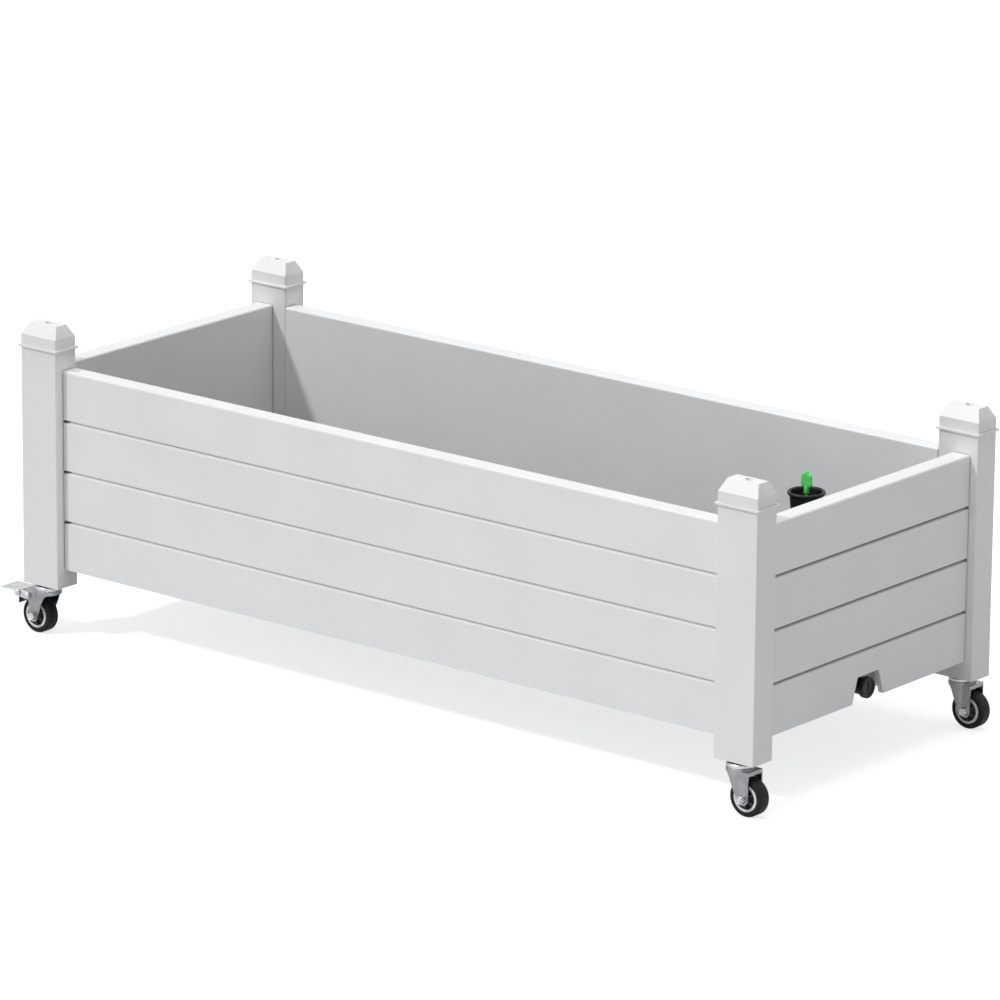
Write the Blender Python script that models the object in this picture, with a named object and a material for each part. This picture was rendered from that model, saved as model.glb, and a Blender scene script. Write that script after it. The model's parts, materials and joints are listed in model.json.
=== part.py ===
"""Rolling self-watering planter: four posts on swivel casters, four plank-look panels, a reservoir tray."""

from math import acos, cos, degrees, pi, radians, sin

import bmesh
import bpy
from mathutils import Matrix, Vector

# Overall size, in metres. X is the long side, Y the short side, Z is up and the wheels stand on z = 0.
LENGTH = 1.240
WIDTH = 0.508
GAP = 0.0003

# A small chamfer on moulded edges, and how far cutters run past what they cut.
EDGE = 0.0008
NIP = 0.001
OVERRUN = 0.010

# Corner posts: hollow rectangular tubes.
POST_X = 0.063
POST_Y = 0.040
POST_HEIGHT = 0.330
POST_WALL = 0.003
POST_FLOOR = 0.005
POST_CORNER = 0.0016

# Post caps: a thin flange, an upright skirt and a cut-off pyramid with a small hole in its flat top.
FLANGE_REACH = 0.0030
FLANGE_THICKNESS = 0.0026
SKIRT_HEIGHT = 0.0145
PYRAMID_HEIGHT = 0.0160
PYRAMID_INSET_X = 0.0072
PYRAMID_INSET_Y = 0.0095
CAP_WALL = 0.0022
SPIGOT_LENGTH = 0.014
CAP_HOLE = 0.0066
CAP_RING = 0.0124
CAP_RING_HEIGHT = 0.0006

# Panels: hollow mouldings open underneath, with planks marked by grooves and a ledge that carries the tray.
PANEL_HEIGHT = 0.2776
PANEL_LIFT = 0.0257
SIDE_RECESS = 0.0140
END_RECESS = 0.0120
SIDE_THICKNESS = 0.0260
END_THICKNESS = 0.0280
PANEL_WALL = 0.003
GROOVE_HEIGHT = 0.0048
GROOVE_DEPTH = 0.0050
GROOVE_SLOPE = 0.7
PLANK_PITCH = 0.0702
RIM_RADIUS = 0.0030
LEDGE_REACH = 0.012
LEDGE_THICKNESS = 0.003
SIDE_BAYS = 4
END_BAYS = 2
TONGUE_LENGTH = 0.008
TONGUE_THICKNESS = 0.010
TONGUE_HEIGHT = 0.036
TONGUE_LEVELS = (0.060, 0.190)

# Cross bars between the side panels' ledges, and the reservoir tray that stands on both.
CROSSBAR_WIDTH = 0.030
CROSSBAR_FLANGE = 0.002
CROSSBAR_RIB = 0.010
CROSSBAR_RIB_WIDTH = 0.006
CROSSBAR_SPREAD = 0.400
TRAY_WALL = 0.0022
TRAY_HEIGHT = 0.060
TRAY_CLEARANCE = 0.003
TRAY_CORNER = 0.008

# Perforated platform over the water, with two wicking wells that reach down into it.
PLATFORM_THICKNESS = 0.003
WELL_LENGTH = 0.110
WELL_WIDTH = 0.180
WELL_TAPER = 0.010
WELL_SPREAD = 0.560
WELL_WALL = 0.0025
WELL_CORNER = 0.012
WELL_FOOT_GAP = 0.0005
SLOT_LENGTH = 0.060
SLOT_WIDTH = 0.006
SLOT_ROWS = 4
SLOT_COLUMNS = 7

# Filler cup with its tube down to the water, and the float that shows the level.
FILLER_INSET = 0.074
FILLER_TOP = 0.283
CUP_RIM_RADIUS = 0.0248
CUP_RADIUS = 0.0225
TUBE_RADIUS = 0.0165
CUP_DEPTH = 0.062
CUP_LIP = 0.005
FILLER_WALL = 0.0020
FILLER_FOOT_GAP = 0.005
COLLAR_REACH = 0.006
COLLAR_THICKNESS = 0.003
GUIDE_DEPTH = 0.030
GUIDE_THICKNESS = 0.003
ROD_RADIUS = 0.0018
FLOAT_RADIUS = 0.0125
FLOAT_HEIGHT = 0.016
FLAG_HEIGHT = 0.030
FLAG_WIDTH = 0.019
FLAG_THICKNESS = 0.0026
FLAG_RISE = 0.027
FLAG_SOCKET = 0.0034
FLAG_SOCKET_HEIGHT = 0.0090
FLAG_SOCKET_DEPTH = 0.0055
FLAG_STALK = 0.0040
FLAG_SWELL = 0.10
FLAG_LOBES = 6
FLOAT_FLOOR_GAP = 0.002
ROD_FOOT = 0.0040
ROD_FOOT_THICKNESS = 0.0015
GUIDE_BAR = 0.0030

# Drain: a notch in the right end panel, a bush through the tray wall, a seal and a slotted plug.
NOTCH_BOTTOM = 0.067
NOTCH_TOP = 0.0450
NOTCH_HEIGHT = 0.0340
DRAIN_LEVEL = 0.0410
DRAIN_Y = 0.0025
DRAIN_BORE = 0.0045
BUSH_NECK = 0.0070
BUSH_BARREL = 0.0110
BUSH_FLANGE = 0.0130
BUSH_FLANGE_THICKNESS = 0.004
BUSH_INSIDE = 0.0010
SEAL_THICKNESS = 0.002
PLUG_RADIUS = 0.0140
PLUG_HEAD = 0.0070
PLUG_PROUD = 0.0015
PLUG_SHANK = 0.016
PLUG_RING = 0.0035
PLUG_SLOT_WIDTH = 0.0022
PLUG_SLOT_LENGTH = 0.0176
PLUG_SLOT_DEPTH = 0.0020

# Casters: threaded stem, pressed fork with a round bowl on top, 50 mm wheel on a bolt behind the stem.
WHEEL_RADIUS = 0.025
TYRE_WIDTH = 0.0190
TYRE_INNER = 0.0181
TYRE_SHOULDER = 0.0032
HUB_RING_INNER = 0.0143
HUB_RING_WIDTH = 0.0200
HUB_BOSS = 0.0062
HUB_WEB = 0.0060
FORK_CLEARANCE = 0.0081
CASTER_TRAIL = 0.015
CASTER_SETOUT = 0.004
STEM_RADIUS = 0.005
STEM_LENGTH = 0.026
COLLAR_RADIUS = 0.009
COLLAR_HEIGHT = 0.0012
RACE_RADIUS = 0.0184
RACE_THICKNESS = 0.0053
RACE_ROUND = 0.0029
NECK_RADIUS = 0.0040
STEM_HEAD_RADIUS = 0.0075
STEM_HEAD_THICKNESS = 0.0016
BOWL_RADIUS = 0.0187
BOWL_HEIGHT = 0.0029
BOWL_END = 0.0095
BOWL_STEP = 0.0015
FORK_SHEET = 0.0016
FORK_PLATE = 0.0022
FORK_INSIDE = 0.0270
FORK_FOOT = 0.0082
FORK_LIP = 0.0050
CASTER_SPAN = 0.030
BROW_REACH = 0.0100
BROW_DROP = 0.0010
SHOULDER_REACH = 0.0055
SHOULDER_DROP = 0.0050
AXLE_RADIUS = 0.0030
NUT_FLATS = 0.0100
NUT_HEIGHT = 0.0062
BOLT_HEAD_HEIGHT = 0.0050
BOLT_TIP = 0.0012

# How many flats stand for a round wheel.
HUB_STEPS = 20
TYRE_STEPS = 32

# Foot brakes on the two left casters. Places are given from the pivot, forwards and up.
BRAKE_PIVOT_X = 0.0245
BRAKE_PIVOT_DROP = 0.0082
EAR_RADIUS = 0.0055
PEDAL_SHEET = 0.0015
PEDAL_START = 0.0090
PEDAL_BEND = 0.0240
PEDAL_TIP = 0.0485
PEDAL_LEVEL = 0.0043
PEDAL_RISE = 0.0029
PEDAL_FLANGE_END = 0.0241
PEDAL_FLANGE_FOOT = 0.0034
RIVET_FORWARD = 0.0169
RIVET_RISE = 0.0012
PIN_RADIUS = 0.0018
PIN_HEAD_RADIUS = 0.0047
PIN_HEAD_THICKNESS = 0.0032
PAD_WIDTH = 0.0200
PAD_START = 0.0100
PAD_END = 0.0214
PAD_TOE_DROP = 0.0064
PAD_HEEL_DROP = 0.0160

# Worked out from the values above.
PEDAL_REACH = BRAKE_PIVOT_X + PEDAL_TIP - POST_X / 2
WHEEL_REACH = CASTER_TRAIL + WHEEL_RADIUS - POST_X / 2
FRAME_SHIFT = (PEDAL_REACH - max(WHEEL_REACH, FLANGE_REACH)) / 2
HEAD_ROOM = FORK_CLEARANCE + FORK_PLATE + BOWL_HEIGHT + RACE_THICKNESS + COLLAR_HEIGHT + 2 * GAP
POST_BOTTOM = 2 * WHEEL_RADIUS + HEAD_ROOM
POST_TOP = POST_BOTTOM + POST_HEIGHT
POST_CENTRE_X = LENGTH / 2 - POST_X / 2
POST_CENTRE_Y = WIDTH / 2 - POST_Y / 2
PANEL_BOTTOM = POST_BOTTOM + PANEL_LIFT
SIDE_INNER = WIDTH / 2 - SIDE_RECESS - SIDE_THICKNESS
END_INNER = LENGTH / 2 - END_RECESS - END_THICKNESS
LEDGE_TOP = PANEL_BOTTOM + LEDGE_THICKNESS
TRAY_BOTTOM = LEDGE_TOP + CROSSBAR_FLANGE + 2 * GAP
TRAY_X = END_INNER - TRAY_CLEARANCE
TRAY_Y = min(SIDE_INNER, WIDTH / 2 - POST_Y) - TRAY_CLEARANCE
TRAY_TOP = TRAY_BOTTOM + TRAY_HEIGHT
PLATFORM_BOTTOM = TRAY_TOP + GAP
PLATFORM_TOP = PLATFORM_BOTTOM + PLATFORM_THICKNESS
FILLER_X = END_INNER - FILLER_INSET
FILLER_RIM = POST_BOTTOM + FILLER_TOP
FILLER_FOOT = TRAY_BOTTOM + TRAY_WALL + FILLER_FOOT_GAP
CUP_BOTTOM = FILLER_RIM - CUP_DEPTH
DRAIN_Z = POST_BOTTOM + DRAIN_LEVEL
FLAG_BOTTOM = FILLER_RIM + FLAG_RISE - FLAG_HEIGHT
TRAY_FLOOR = TRAY_BOTTOM + TRAY_WALL
END_FACE = LENGTH / 2 - END_RECESS
COLLAR_TOP = POST_BOTTOM - GAP
RACE_TOP = COLLAR_TOP - COLLAR_HEIGHT
RACE_BOTTOM = RACE_TOP - RACE_THICKNESS
BOWL_TOP = RACE_BOTTOM - GAP
PLATE_TOP = BOWL_TOP - BOWL_HEIGHT
PLATE_BOTTOM = PLATE_TOP - FORK_PLATE
FORK_HALF = FORK_INSIDE / 2 + FORK_SHEET
FORK_BACK = CASTER_TRAIL + FORK_FOOT
HUB_WIDTH = FORK_INSIDE - 2 * GAP
BRAKE_PIVOT_Z = PLATE_TOP - BRAKE_PIVOT_DROP
CASTER_Y = POST_CENTRE_Y + CASTER_SETOUT

WHITE_RESIN = ("white_resin", (0.80, 0.81, 0.82), 0.42, 0.0)
GREY_RESIN = ("grey_resin", (0.55, 0.56, 0.57), 0.50, 0.0)
BLACK_RESIN = ("black_resin", (0.020, 0.020, 0.022), 0.45, 0.0)
BLACK_RUBBER = ("black_rubber", (0.018, 0.018, 0.019), 0.62, 0.0)
ZINC = ("zinc_plate", (0.62, 0.63, 0.65), 0.28, 1.0)
HUB_RESIN = ("hub_resin", (0.70, 0.71, 0.72), 0.40, 0.0)
GREEN_RESIN = ("green_resin", (0.020, 0.50, 0.13), 0.40, 0.0)
FOAM = ("float_foam", (0.85, 0.84, 0.80), 0.75, 0.0)


def clear_scene():
    for item in list(bpy.data.objects):
        bpy.data.objects.remove(item)


def material(spec):
    name, colour, roughness, metallic = spec
    made = bpy.data.materials.get(name)
    if made is None:
        made = bpy.data.materials.new(name)
        made.use_nodes = True
        shader = made.node_tree.nodes["Principled BSDF"]
        shader.inputs["Base Color"].default_value = (*colour, 1.0)
        shader.inputs["Roughness"].default_value = roughness
        shader.inputs["Metallic"].default_value = metallic
    return made


def finish_object(name, bm, spec, parent, location=(0, 0, 0), turn=0.0, smooth=None):
    """Turns a bmesh into a named object under its parent, and closes the bmesh."""
    bmesh.ops.recalc_face_normals(bm, faces=bm.faces[:])
    mesh = bpy.data.meshes.new(name)
    bm.to_mesh(mesh)
    bm.free()
    made = bpy.data.objects.new(name, mesh)
    bpy.context.scene.collection.objects.link(made)
    if spec is not None:
        mesh.materials.append(material(spec))
    if smooth is not None:
        mesh.shade_smooth()
        mesh.set_sharp_from_angle(angle=radians(smooth))
    made.parent = parent
    made.location = location
    made.rotation_euler = (0, 0, turn)
    return made


def empty(name, parent, location=(0, 0, 0), turn=0.0):
    made = bpy.data.objects.new(name, None)
    bpy.context.scene.collection.objects.link(made)
    made.empty_display_size = 0.02
    made.parent = parent
    made.location = location
    made.rotation_euler = (0, 0, turn)
    return made


def helper(name, bm, parent):
    made = finish_object(name, bm, None, parent)
    made.hide_render = True
    made.display_type = "WIRE"
    return made


def boolean(target, bm, operation):
    """Adds a Boolean whose other shape is given in the target's own frame."""
    other = helper(f"{target.name}_{operation.lower()}_{len(target.modifiers)}", bm, target)
    step = target.modifiers.new(operation.title(), "BOOLEAN")
    step.operation = operation
    step.solver = "EXACT"
    step.object = other
    return target


def add_box(bm, low, high):
    size = Vector(high) - Vector(low)
    middle = (Vector(high) + Vector(low)) / 2
    place = Matrix.Translation(middle) @ Matrix.Diagonal((*size, 1.0))
    bmesh.ops.create_cube(bm, size=1.0, matrix=place)
    return bm


def box(low, high):
    return add_box(bmesh.new(), low, high)


def add_prism(bm, outline, start, end, along="Z"):
    """Extrudes a closed outline. Along X it is given as (y, z), along Y as (x, z), along Z as (x, y)."""

    def point(a, b, c):
        return {"X": (c, a, b), "Y": (a, c, b), "Z": (a, b, c)}[along]

    low = [bm.verts.new(point(a, b, start)) for a, b in outline]
    high = [bm.verts.new(point(a, b, end)) for a, b in outline]
    bm.faces.new(low)
    bm.faces.new(high)
    for i in range(len(outline)):
        j = (i + 1) % len(outline)
        bm.faces.new((low[i], low[j], high[j], high[i]))
    return bm


def prism(outline, start, end, along="Z"):
    return add_prism(bmesh.new(), outline, start, end, along)


def arc(centre, radius, start, end, steps):
    """Points from the start angle to the end angle, both in degrees."""
    angles = [radians(start + (end - start) * i / steps) for i in range(steps + 1)]
    return [(centre[0] + radius * cos(a), centre[1] + radius * sin(a)) for a in angles]


def rounded_rectangle(half_x, half_y, radius, steps=2):
    corners = ((1, 1, 0), (-1, 1, 90), (-1, -1, 180), (1, -1, 270))
    points = []
    for sx, sy, start in corners:
        centre = (sx * (half_x - radius), sy * (half_y - radius))
        points += arc(centre, radius, start, start + 90, steps)
    return points


def hexagon(flats):
    return [(flats / 3**0.5 * cos(radians(60 * i)), flats / 3**0.5 * sin(radians(60 * i))) for i in range(6)]


def loft(loops):
    """Joins outlines of equal length, each with its height, into one closed solid."""
    bm = bmesh.new()
    rings = [[bm.verts.new((x, y, z)) for x, y in outline] for outline, z in loops]
    bm.faces.new(rings[0])
    bm.faces.new(rings[-1])
    for low, high in zip(rings, rings[1:]):
        for i in range(len(low)):
            j = (i + 1) % len(low)
            bm.faces.new((low[i], low[j], high[j], high[i]))
    return bm


def turned(profile, steps, along="Z"):
    """Spins a profile of (radius, height) points. Where its ends touch the axis, they close there."""
    bm = bmesh.new()

    def point(radius, height, angle):
        across, up = radius * cos(angle), radius * sin(angle)
        return {"Z": (across, up, height), "Y": (across, height, up), "X": (height, across, up)}[along]

    rings = []
    for radius, height in profile:
        if radius < 1e-7:
            rings.append([bm.verts.new(point(0, height, 0))])
        else:
            rings.append([bm.verts.new(point(radius, height, 2 * pi * i / steps)) for i in range(steps)])
    touches = len(rings[0]) == 1
    pairs = list(zip(rings, rings[1:])) + ([] if touches else [(rings[-1], rings[0])])
    for low, high in pairs:
        for i in range(steps):
            j = (i + 1) % steps
            ring = [low[i % len(low)], low[j % len(low)], high[j % len(high)], high[i % len(high)]]
            bm.faces.new(list(dict.fromkeys(ring)))
    return bm


def cylinder(radius, start, end, steps, along="Z"):
    return turned([(0, start), (radius, start), (radius, end), (0, end)], steps, along)


def moved(bm, step):
    bmesh.ops.translate(bm, verts=bm.verts[:], vec=step)
    return bm


def panel_tongue(bm, length, thickness):
    middle = thickness / 2
    for side in (-1, 1):
        for level in TONGUE_LEVELS:
            near = side * (length / 2 - PANEL_WALL)
            far = side * (length / 2 + TONGUE_LENGTH)
            low = (min(near, far), middle - TONGUE_THICKNESS / 2, level)
            high = (max(near, far), middle + TONGUE_THICKNESS / 2, level + TONGUE_HEIGHT)
            add_box(bm, low, high)
    return bm


def panel_section(thickness):
    """The moulding's outline, with its outer face at y = 0: plank grooves, rounded rim and inner ledge."""
    outline = [(0, 0)]
    first = PANEL_HEIGHT - 3 * PLANK_PITCH
    for i in range(3):
        top = first + i * PLANK_PITCH + GROOVE_HEIGHT / 2
        foot = top - GROOVE_HEIGHT
        slope = GROOVE_SLOPE * GROOVE_HEIGHT
        outline += [(0, foot), (GROOVE_DEPTH, foot + slope), (GROOVE_DEPTH, top), (0, top)]
    outline += arc((RIM_RADIUS, PANEL_HEIGHT - RIM_RADIUS), RIM_RADIUS, 180, 90, 3)
    outline += arc((thickness - RIM_RADIUS, PANEL_HEIGHT - RIM_RADIUS), RIM_RADIUS, 90, 0, 3)
    outline += [(thickness, LEDGE_THICKNESS), (thickness + LEDGE_REACH, LEDGE_THICKNESS)]
    outline += [(thickness + LEDGE_REACH, 0)]
    return outline


def panel(name, length, thickness, bays, parent, location, turn):
    made = finish_object(
        name,
        prism(panel_section(thickness), -length / 2, length / 2, "X"),
        WHITE_RESIN,
        parent,
        location,
        turn,
        smooth=40,
    )
    boolean(made, panel_tongue(bmesh.new(), length, thickness), "UNION")
    hollow = bmesh.new()
    bay = (length - PANEL_WALL) / bays
    for i in range(bays):
        start = -length / 2 + PANEL_WALL + i * bay
        low = (start, GROOVE_DEPTH + PANEL_WALL, -OVERRUN)
        high = (start + bay - PANEL_WALL, thickness - PANEL_WALL, PANEL_HEIGHT - PANEL_WALL)
        add_box(hollow, low, high)
    return boolean(made, hollow, "DIFFERENCE")


def cut_notch(end_panel):
    outline = [
        (-NOTCH_BOTTOM / 2, -OVERRUN),
        (NOTCH_BOTTOM / 2, -OVERRUN),
        (NOTCH_BOTTOM / 2, 0),
        (NOTCH_TOP / 2, NOTCH_HEIGHT),
        (-NOTCH_TOP / 2, NOTCH_HEIGHT),
        (-NOTCH_BOTTOM / 2, 0),
    ]
    reach = END_THICKNESS + LEDGE_REACH + OVERRUN
    boolean(end_panel, moved(prism(outline, -OVERRUN, reach, "Y"), (DRAIN_Y, 0, 0)), "DIFFERENCE")


def make_panels(frame):
    side_length = LENGTH - 2 * POST_X - 2 * GAP
    end_length = WIDTH - 2 * POST_Y - 2 * GAP
    y = WIDTH / 2 - SIDE_RECESS
    x = LENGTH / 2 - END_RECESS
    z = PANEL_BOTTOM
    panel("front_panel", side_length, SIDE_THICKNESS, SIDE_BAYS, frame, (0, -y, z), 0)
    panel("rear_panel", side_length, SIDE_THICKNESS, SIDE_BAYS, frame, (0, y, z), pi)
    panel("left_end_panel", end_length, END_THICKNESS, END_BAYS, frame, (-x, 0, z), -pi / 2)
    right = panel("right_end_panel", end_length, END_THICKNESS, END_BAYS, frame, (x, 0, z), pi / 2)
    cut_notch(right)


def post(name, side, face, frame):
    """A hollow post. side is -1 for the left, 1 for the right; face is -1 for the front, 1 for the rear."""
    outline = rounded_rectangle(POST_X / 2, POST_Y / 2, POST_CORNER)
    made = finish_object(
        name,
        prism(outline, 0, POST_HEIGHT),
        WHITE_RESIN,
        frame,
        (side * POST_CENTRE_X, face * POST_CENTRE_Y, POST_BOTTOM),
        smooth=40,
    )
    inner_x = POST_X / 2 - POST_WALL
    inner_y = POST_Y / 2 - POST_WALL
    bore = box((-inner_x, -inner_y, POST_FLOOR), (inner_x, inner_y, POST_HEIGHT + OVERRUN))
    boolean(made, bore, "DIFFERENCE")
    hole = cylinder(STEM_RADIUS + GAP, -OVERRUN, POST_FLOOR + OVERRUN, 20)
    boolean(made, moved(hole, (0, face * CASTER_SETOUT, 0)), "DIFFERENCE")
    slots = bmesh.new()
    for level in TONGUE_LEVELS:
        low_z = PANEL_LIFT + level - GAP
        high_z = PANEL_LIFT + level + TONGUE_HEIGHT + GAP
        half = TONGUE_THICKNESS / 2 + GAP
        side_y = face * (POST_Y / 2 - SIDE_RECESS - SIDE_THICKNESS / 2)
        wall = sorted((-side * (inner_x - NIP), -side * (POST_X / 2 + NIP)))
        add_box(slots, (wall[0], side_y - half, low_z), (wall[1], side_y + half, high_z))
        end_x = side * (POST_X / 2 - END_RECESS - END_THICKNESS / 2)
        wall = sorted((-face * (inner_y - NIP), -face * (POST_Y / 2 + NIP)))
        add_box(slots, (end_x - half, wall[0], low_z), (end_x + half, wall[1], high_z))
    boolean(made, slots, "DIFFERENCE")


def post_cap(name, side, face, frame):
    half_x, half_y = POST_X / 2, POST_Y / 2
    fit = POST_WALL + GAP
    shoulder = FLANGE_THICKNESS + SKIRT_HEIGHT
    top = shoulder + PYRAMID_HEIGHT

    def ring(grow_x, grow_y, radius=POST_CORNER):
        return rounded_rectangle(half_x + grow_x, half_y + grow_y, radius)

    outside = [
        (ring(-fit, -fit, EDGE), -SPIGOT_LENGTH),
        (ring(-fit, -fit, EDGE), 0),
        (ring(FLANGE_REACH, FLANGE_REACH), 0),
        (ring(FLANGE_REACH, FLANGE_REACH), FLANGE_THICKNESS),
        (ring(0, 0), FLANGE_THICKNESS),
        (ring(0, 0), shoulder),
        (ring(-PYRAMID_INSET_X, -PYRAMID_INSET_Y), top),
    ]
    made = finish_object(
        name,
        loft(outside),
        WHITE_RESIN,
        frame,
        (side * POST_CENTRE_X, face * POST_CENTRE_Y, POST_TOP + GAP),
        smooth=30,
    )
    boolean(made, cylinder(CAP_RING / 2, top - NIP, top + CAP_RING_HEIGHT, 20), "UNION")
    inset = fit + CAP_WALL
    throat_x, throat_y = PYRAMID_INSET_X + 1.5 * CAP_WALL, PYRAMID_INSET_Y + 1.5 * CAP_WALL
    inside = [
        (ring(-inset, -inset, EDGE / 2), -SPIGOT_LENGTH - OVERRUN),
        (ring(-inset, -inset, EDGE / 2), shoulder - CAP_WALL),
        (ring(-throat_x, -throat_y, EDGE / 2), top - CAP_WALL),
    ]
    boolean(made, loft(inside), "DIFFERENCE")
    boolean(made, cylinder(CAP_HOLE / 2, top - 2 * CAP_WALL, top + OVERRUN, 16), "DIFFERENCE")


def make_corners(frame):
    for side, across in ((-1, "left"), (1, "right")):
        for face, depth in ((-1, "front"), (1, "rear")):
            post(f"{depth}_{across}_post", side, face, frame)
            post_cap(f"{depth}_{across}_post_cap", side, face, frame)


def make_cross_bars(frame):
    """Flat bars with a rib underneath; their ends lie on the side panels' ledges."""
    end = SIDE_INNER - TRAY_CLEARANCE
    flange = CROSSBAR_WIDTH / 2
    rib = CROSSBAR_RIB_WIDTH / 2
    for side, across in ((-1, "left"), (1, "right")):
        bar = finish_object(
            f"{across}_cross_bar",
            box((-flange, -end, 0), (flange, end, CROSSBAR_FLANGE)),
            GREY_RESIN,
            frame,
            (side * CROSSBAR_SPREAD / 2, 0, LEDGE_TOP + GAP),
        )
        rib_end = SIDE_INNER - LEDGE_REACH - TRAY_CLEARANCE
        low = (-rib, -rib_end, -CROSSBAR_RIB)
        boolean(bar, box(low, (rib, rib_end, CROSSBAR_FLANGE / 2)), "UNION")


def make_tray(frame):
    outer = rounded_rectangle(TRAY_X, TRAY_Y, TRAY_CORNER, 3)
    inner = rounded_rectangle(TRAY_X - TRAY_WALL, TRAY_Y - TRAY_WALL, TRAY_CORNER - TRAY_WALL, 3)
    tray = finish_object(
        "reservoir_tray", prism(outer, 0, TRAY_HEIGHT), GREY_RESIN, frame, (0, 0, TRAY_BOTTOM), smooth=40
    )
    boolean(tray, prism(inner, TRAY_WALL, TRAY_HEIGHT + OVERRUN), "DIFFERENCE")
    hole = cylinder(BUSH_NECK + GAP, TRAY_X - OVERRUN, TRAY_X + OVERRUN, 24, "X")
    boolean(tray, moved(hole, (0, DRAIN_Y, DRAIN_Z - TRAY_BOTTOM)), "DIFFERENCE")


def well_loft(shrink, bottom, top):
    """A tapered well. bottom and top are heights from the platform's underside, downwards being negative."""
    half_x, half_y = WELL_LENGTH / 2 - shrink, WELL_WIDTH / 2 - shrink
    low = rounded_rectangle(half_x - WELL_TAPER, half_y - WELL_TAPER, WELL_CORNER, 3)
    return loft([(low, bottom), (rounded_rectangle(half_x, half_y, WELL_CORNER, 3), top)])


def make_platform(frame):
    depth = PLATFORM_BOTTOM - TRAY_FLOOR - WELL_FOOT_GAP
    outline = rounded_rectangle(TRAY_X, TRAY_Y, TRAY_CORNER, 3)
    platform = finish_object(
        "soil_platform", prism(outline, 0, PLATFORM_THICKNESS), BLACK_RESIN, frame, (0, 0, PLATFORM_BOTTOM)
    )
    middles = (-WELL_SPREAD / 2, WELL_SPREAD / 2)
    for x in middles:
        boolean(platform, moved(well_loft(0, -depth, PLATFORM_THICKNESS / 2), (x, 0, 0)), "UNION")
    for x in middles:
        hollow = well_loft(WELL_WALL, WELL_WALL - depth, PLATFORM_THICKNESS + NIP)
        boolean(platform, moved(hollow, (x, 0, 0)), "DIFFERENCE")
    slots = bmesh.new()
    for column in range(SLOT_COLUMNS):
        x = (column - (SLOT_COLUMNS - 1) / 2) * 2 * TRAY_X / (SLOT_COLUMNS + 1)
        if min(abs(x - middle) for middle in middles) < (WELL_LENGTH + SLOT_LENGTH) / 2:
            continue
        for row in range(SLOT_ROWS):
            y = (row - (SLOT_ROWS - 1) / 2) * 2 * TRAY_Y / (SLOT_ROWS + 1)
            low = (x - SLOT_LENGTH / 2, y - SLOT_WIDTH / 2, -OVERRUN)
            add_box(slots, low, (x + SLOT_LENGTH / 2, y + SLOT_WIDTH / 2, OVERRUN))
    for x in middles:
        for y in (-WELL_WIDTH / 4, 0, WELL_WIDTH / 4):
            low = (x - SLOT_LENGTH / 3, y - SLOT_WIDTH / 2, -depth - OVERRUN)
            add_box(slots, low, (x + SLOT_LENGTH / 3, y + SLOT_WIDTH / 2, WELL_WALL + 2 * NIP - depth))
    boolean(platform, slots, "DIFFERENCE")
    hole = cylinder(TUBE_RADIUS + GAP, -OVERRUN, OVERRUN, 32)
    boolean(platform, moved(hole, (FILLER_X, 0, 0)), "DIFFERENCE")


def cup_radius(height):
    """The filler cup's outer radius at a height between its bottom and its rim."""
    share = (height - CUP_BOTTOM) / CUP_DEPTH
    return TUBE_RADIUS + share * (CUP_RADIUS - TUBE_RADIUS)


def make_filler(frame):
    collar = PLATFORM_TOP + GAP
    under_lip = FILLER_RIM - CUP_LIP
    place = (FILLER_X, 0, 0)
    bore = TUBE_RADIUS - FILLER_WALL
    outline = [
        (TUBE_RADIUS, FILLER_FOOT),
        (TUBE_RADIUS, collar),
        (TUBE_RADIUS + COLLAR_REACH, collar),
        (TUBE_RADIUS + COLLAR_REACH, collar + COLLAR_THICKNESS),
        (TUBE_RADIUS, collar + COLLAR_THICKNESS),
        (TUBE_RADIUS, CUP_BOTTOM),
        (cup_radius(under_lip), under_lip),
        (CUP_RIM_RADIUS - EDGE, under_lip),
        (CUP_RIM_RADIUS, under_lip + EDGE),
        (CUP_RIM_RADIUS, FILLER_RIM - EDGE),
        (CUP_RIM_RADIUS - EDGE, FILLER_RIM),
        (CUP_RADIUS - FILLER_WALL + EDGE, FILLER_RIM),
        (CUP_RADIUS - FILLER_WALL, FILLER_RIM - EDGE),
        (bore, CUP_BOTTOM),
        (bore, FILLER_FOOT),
    ]
    finish_object("filler_cup", turned(outline, 24), BLACK_RESIN, frame, place, smooth=35)

    guide_z = FILLER_RIM - GUIDE_DEPTH
    reach = cup_radius(guide_z) - FILLER_WALL - GAP
    bar = GUIDE_BAR / 2
    guide = finish_object(
        "rod_guide",
        cylinder(ROD_RADIUS + GUIDE_BAR, 0, GUIDE_THICKNESS, 20),
        BLACK_RESIN,
        frame,
        (FILLER_X, 0, guide_z),
        smooth=35,
    )
    low, high = 0.5 * EDGE, GUIDE_THICKNESS - 0.5 * EDGE
    boolean(guide, box((-reach, -bar, low), (reach, bar, high)), "UNION")
    low, high = 0.75 * EDGE, GUIDE_THICKNESS - 0.75 * EDGE
    boolean(guide, box((-bar, -reach, low), (bar, reach, high)), "UNION")
    boolean(guide, cylinder(ROD_RADIUS + GAP, -OVERRUN, OVERRUN, 16), "DIFFERENCE")


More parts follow.
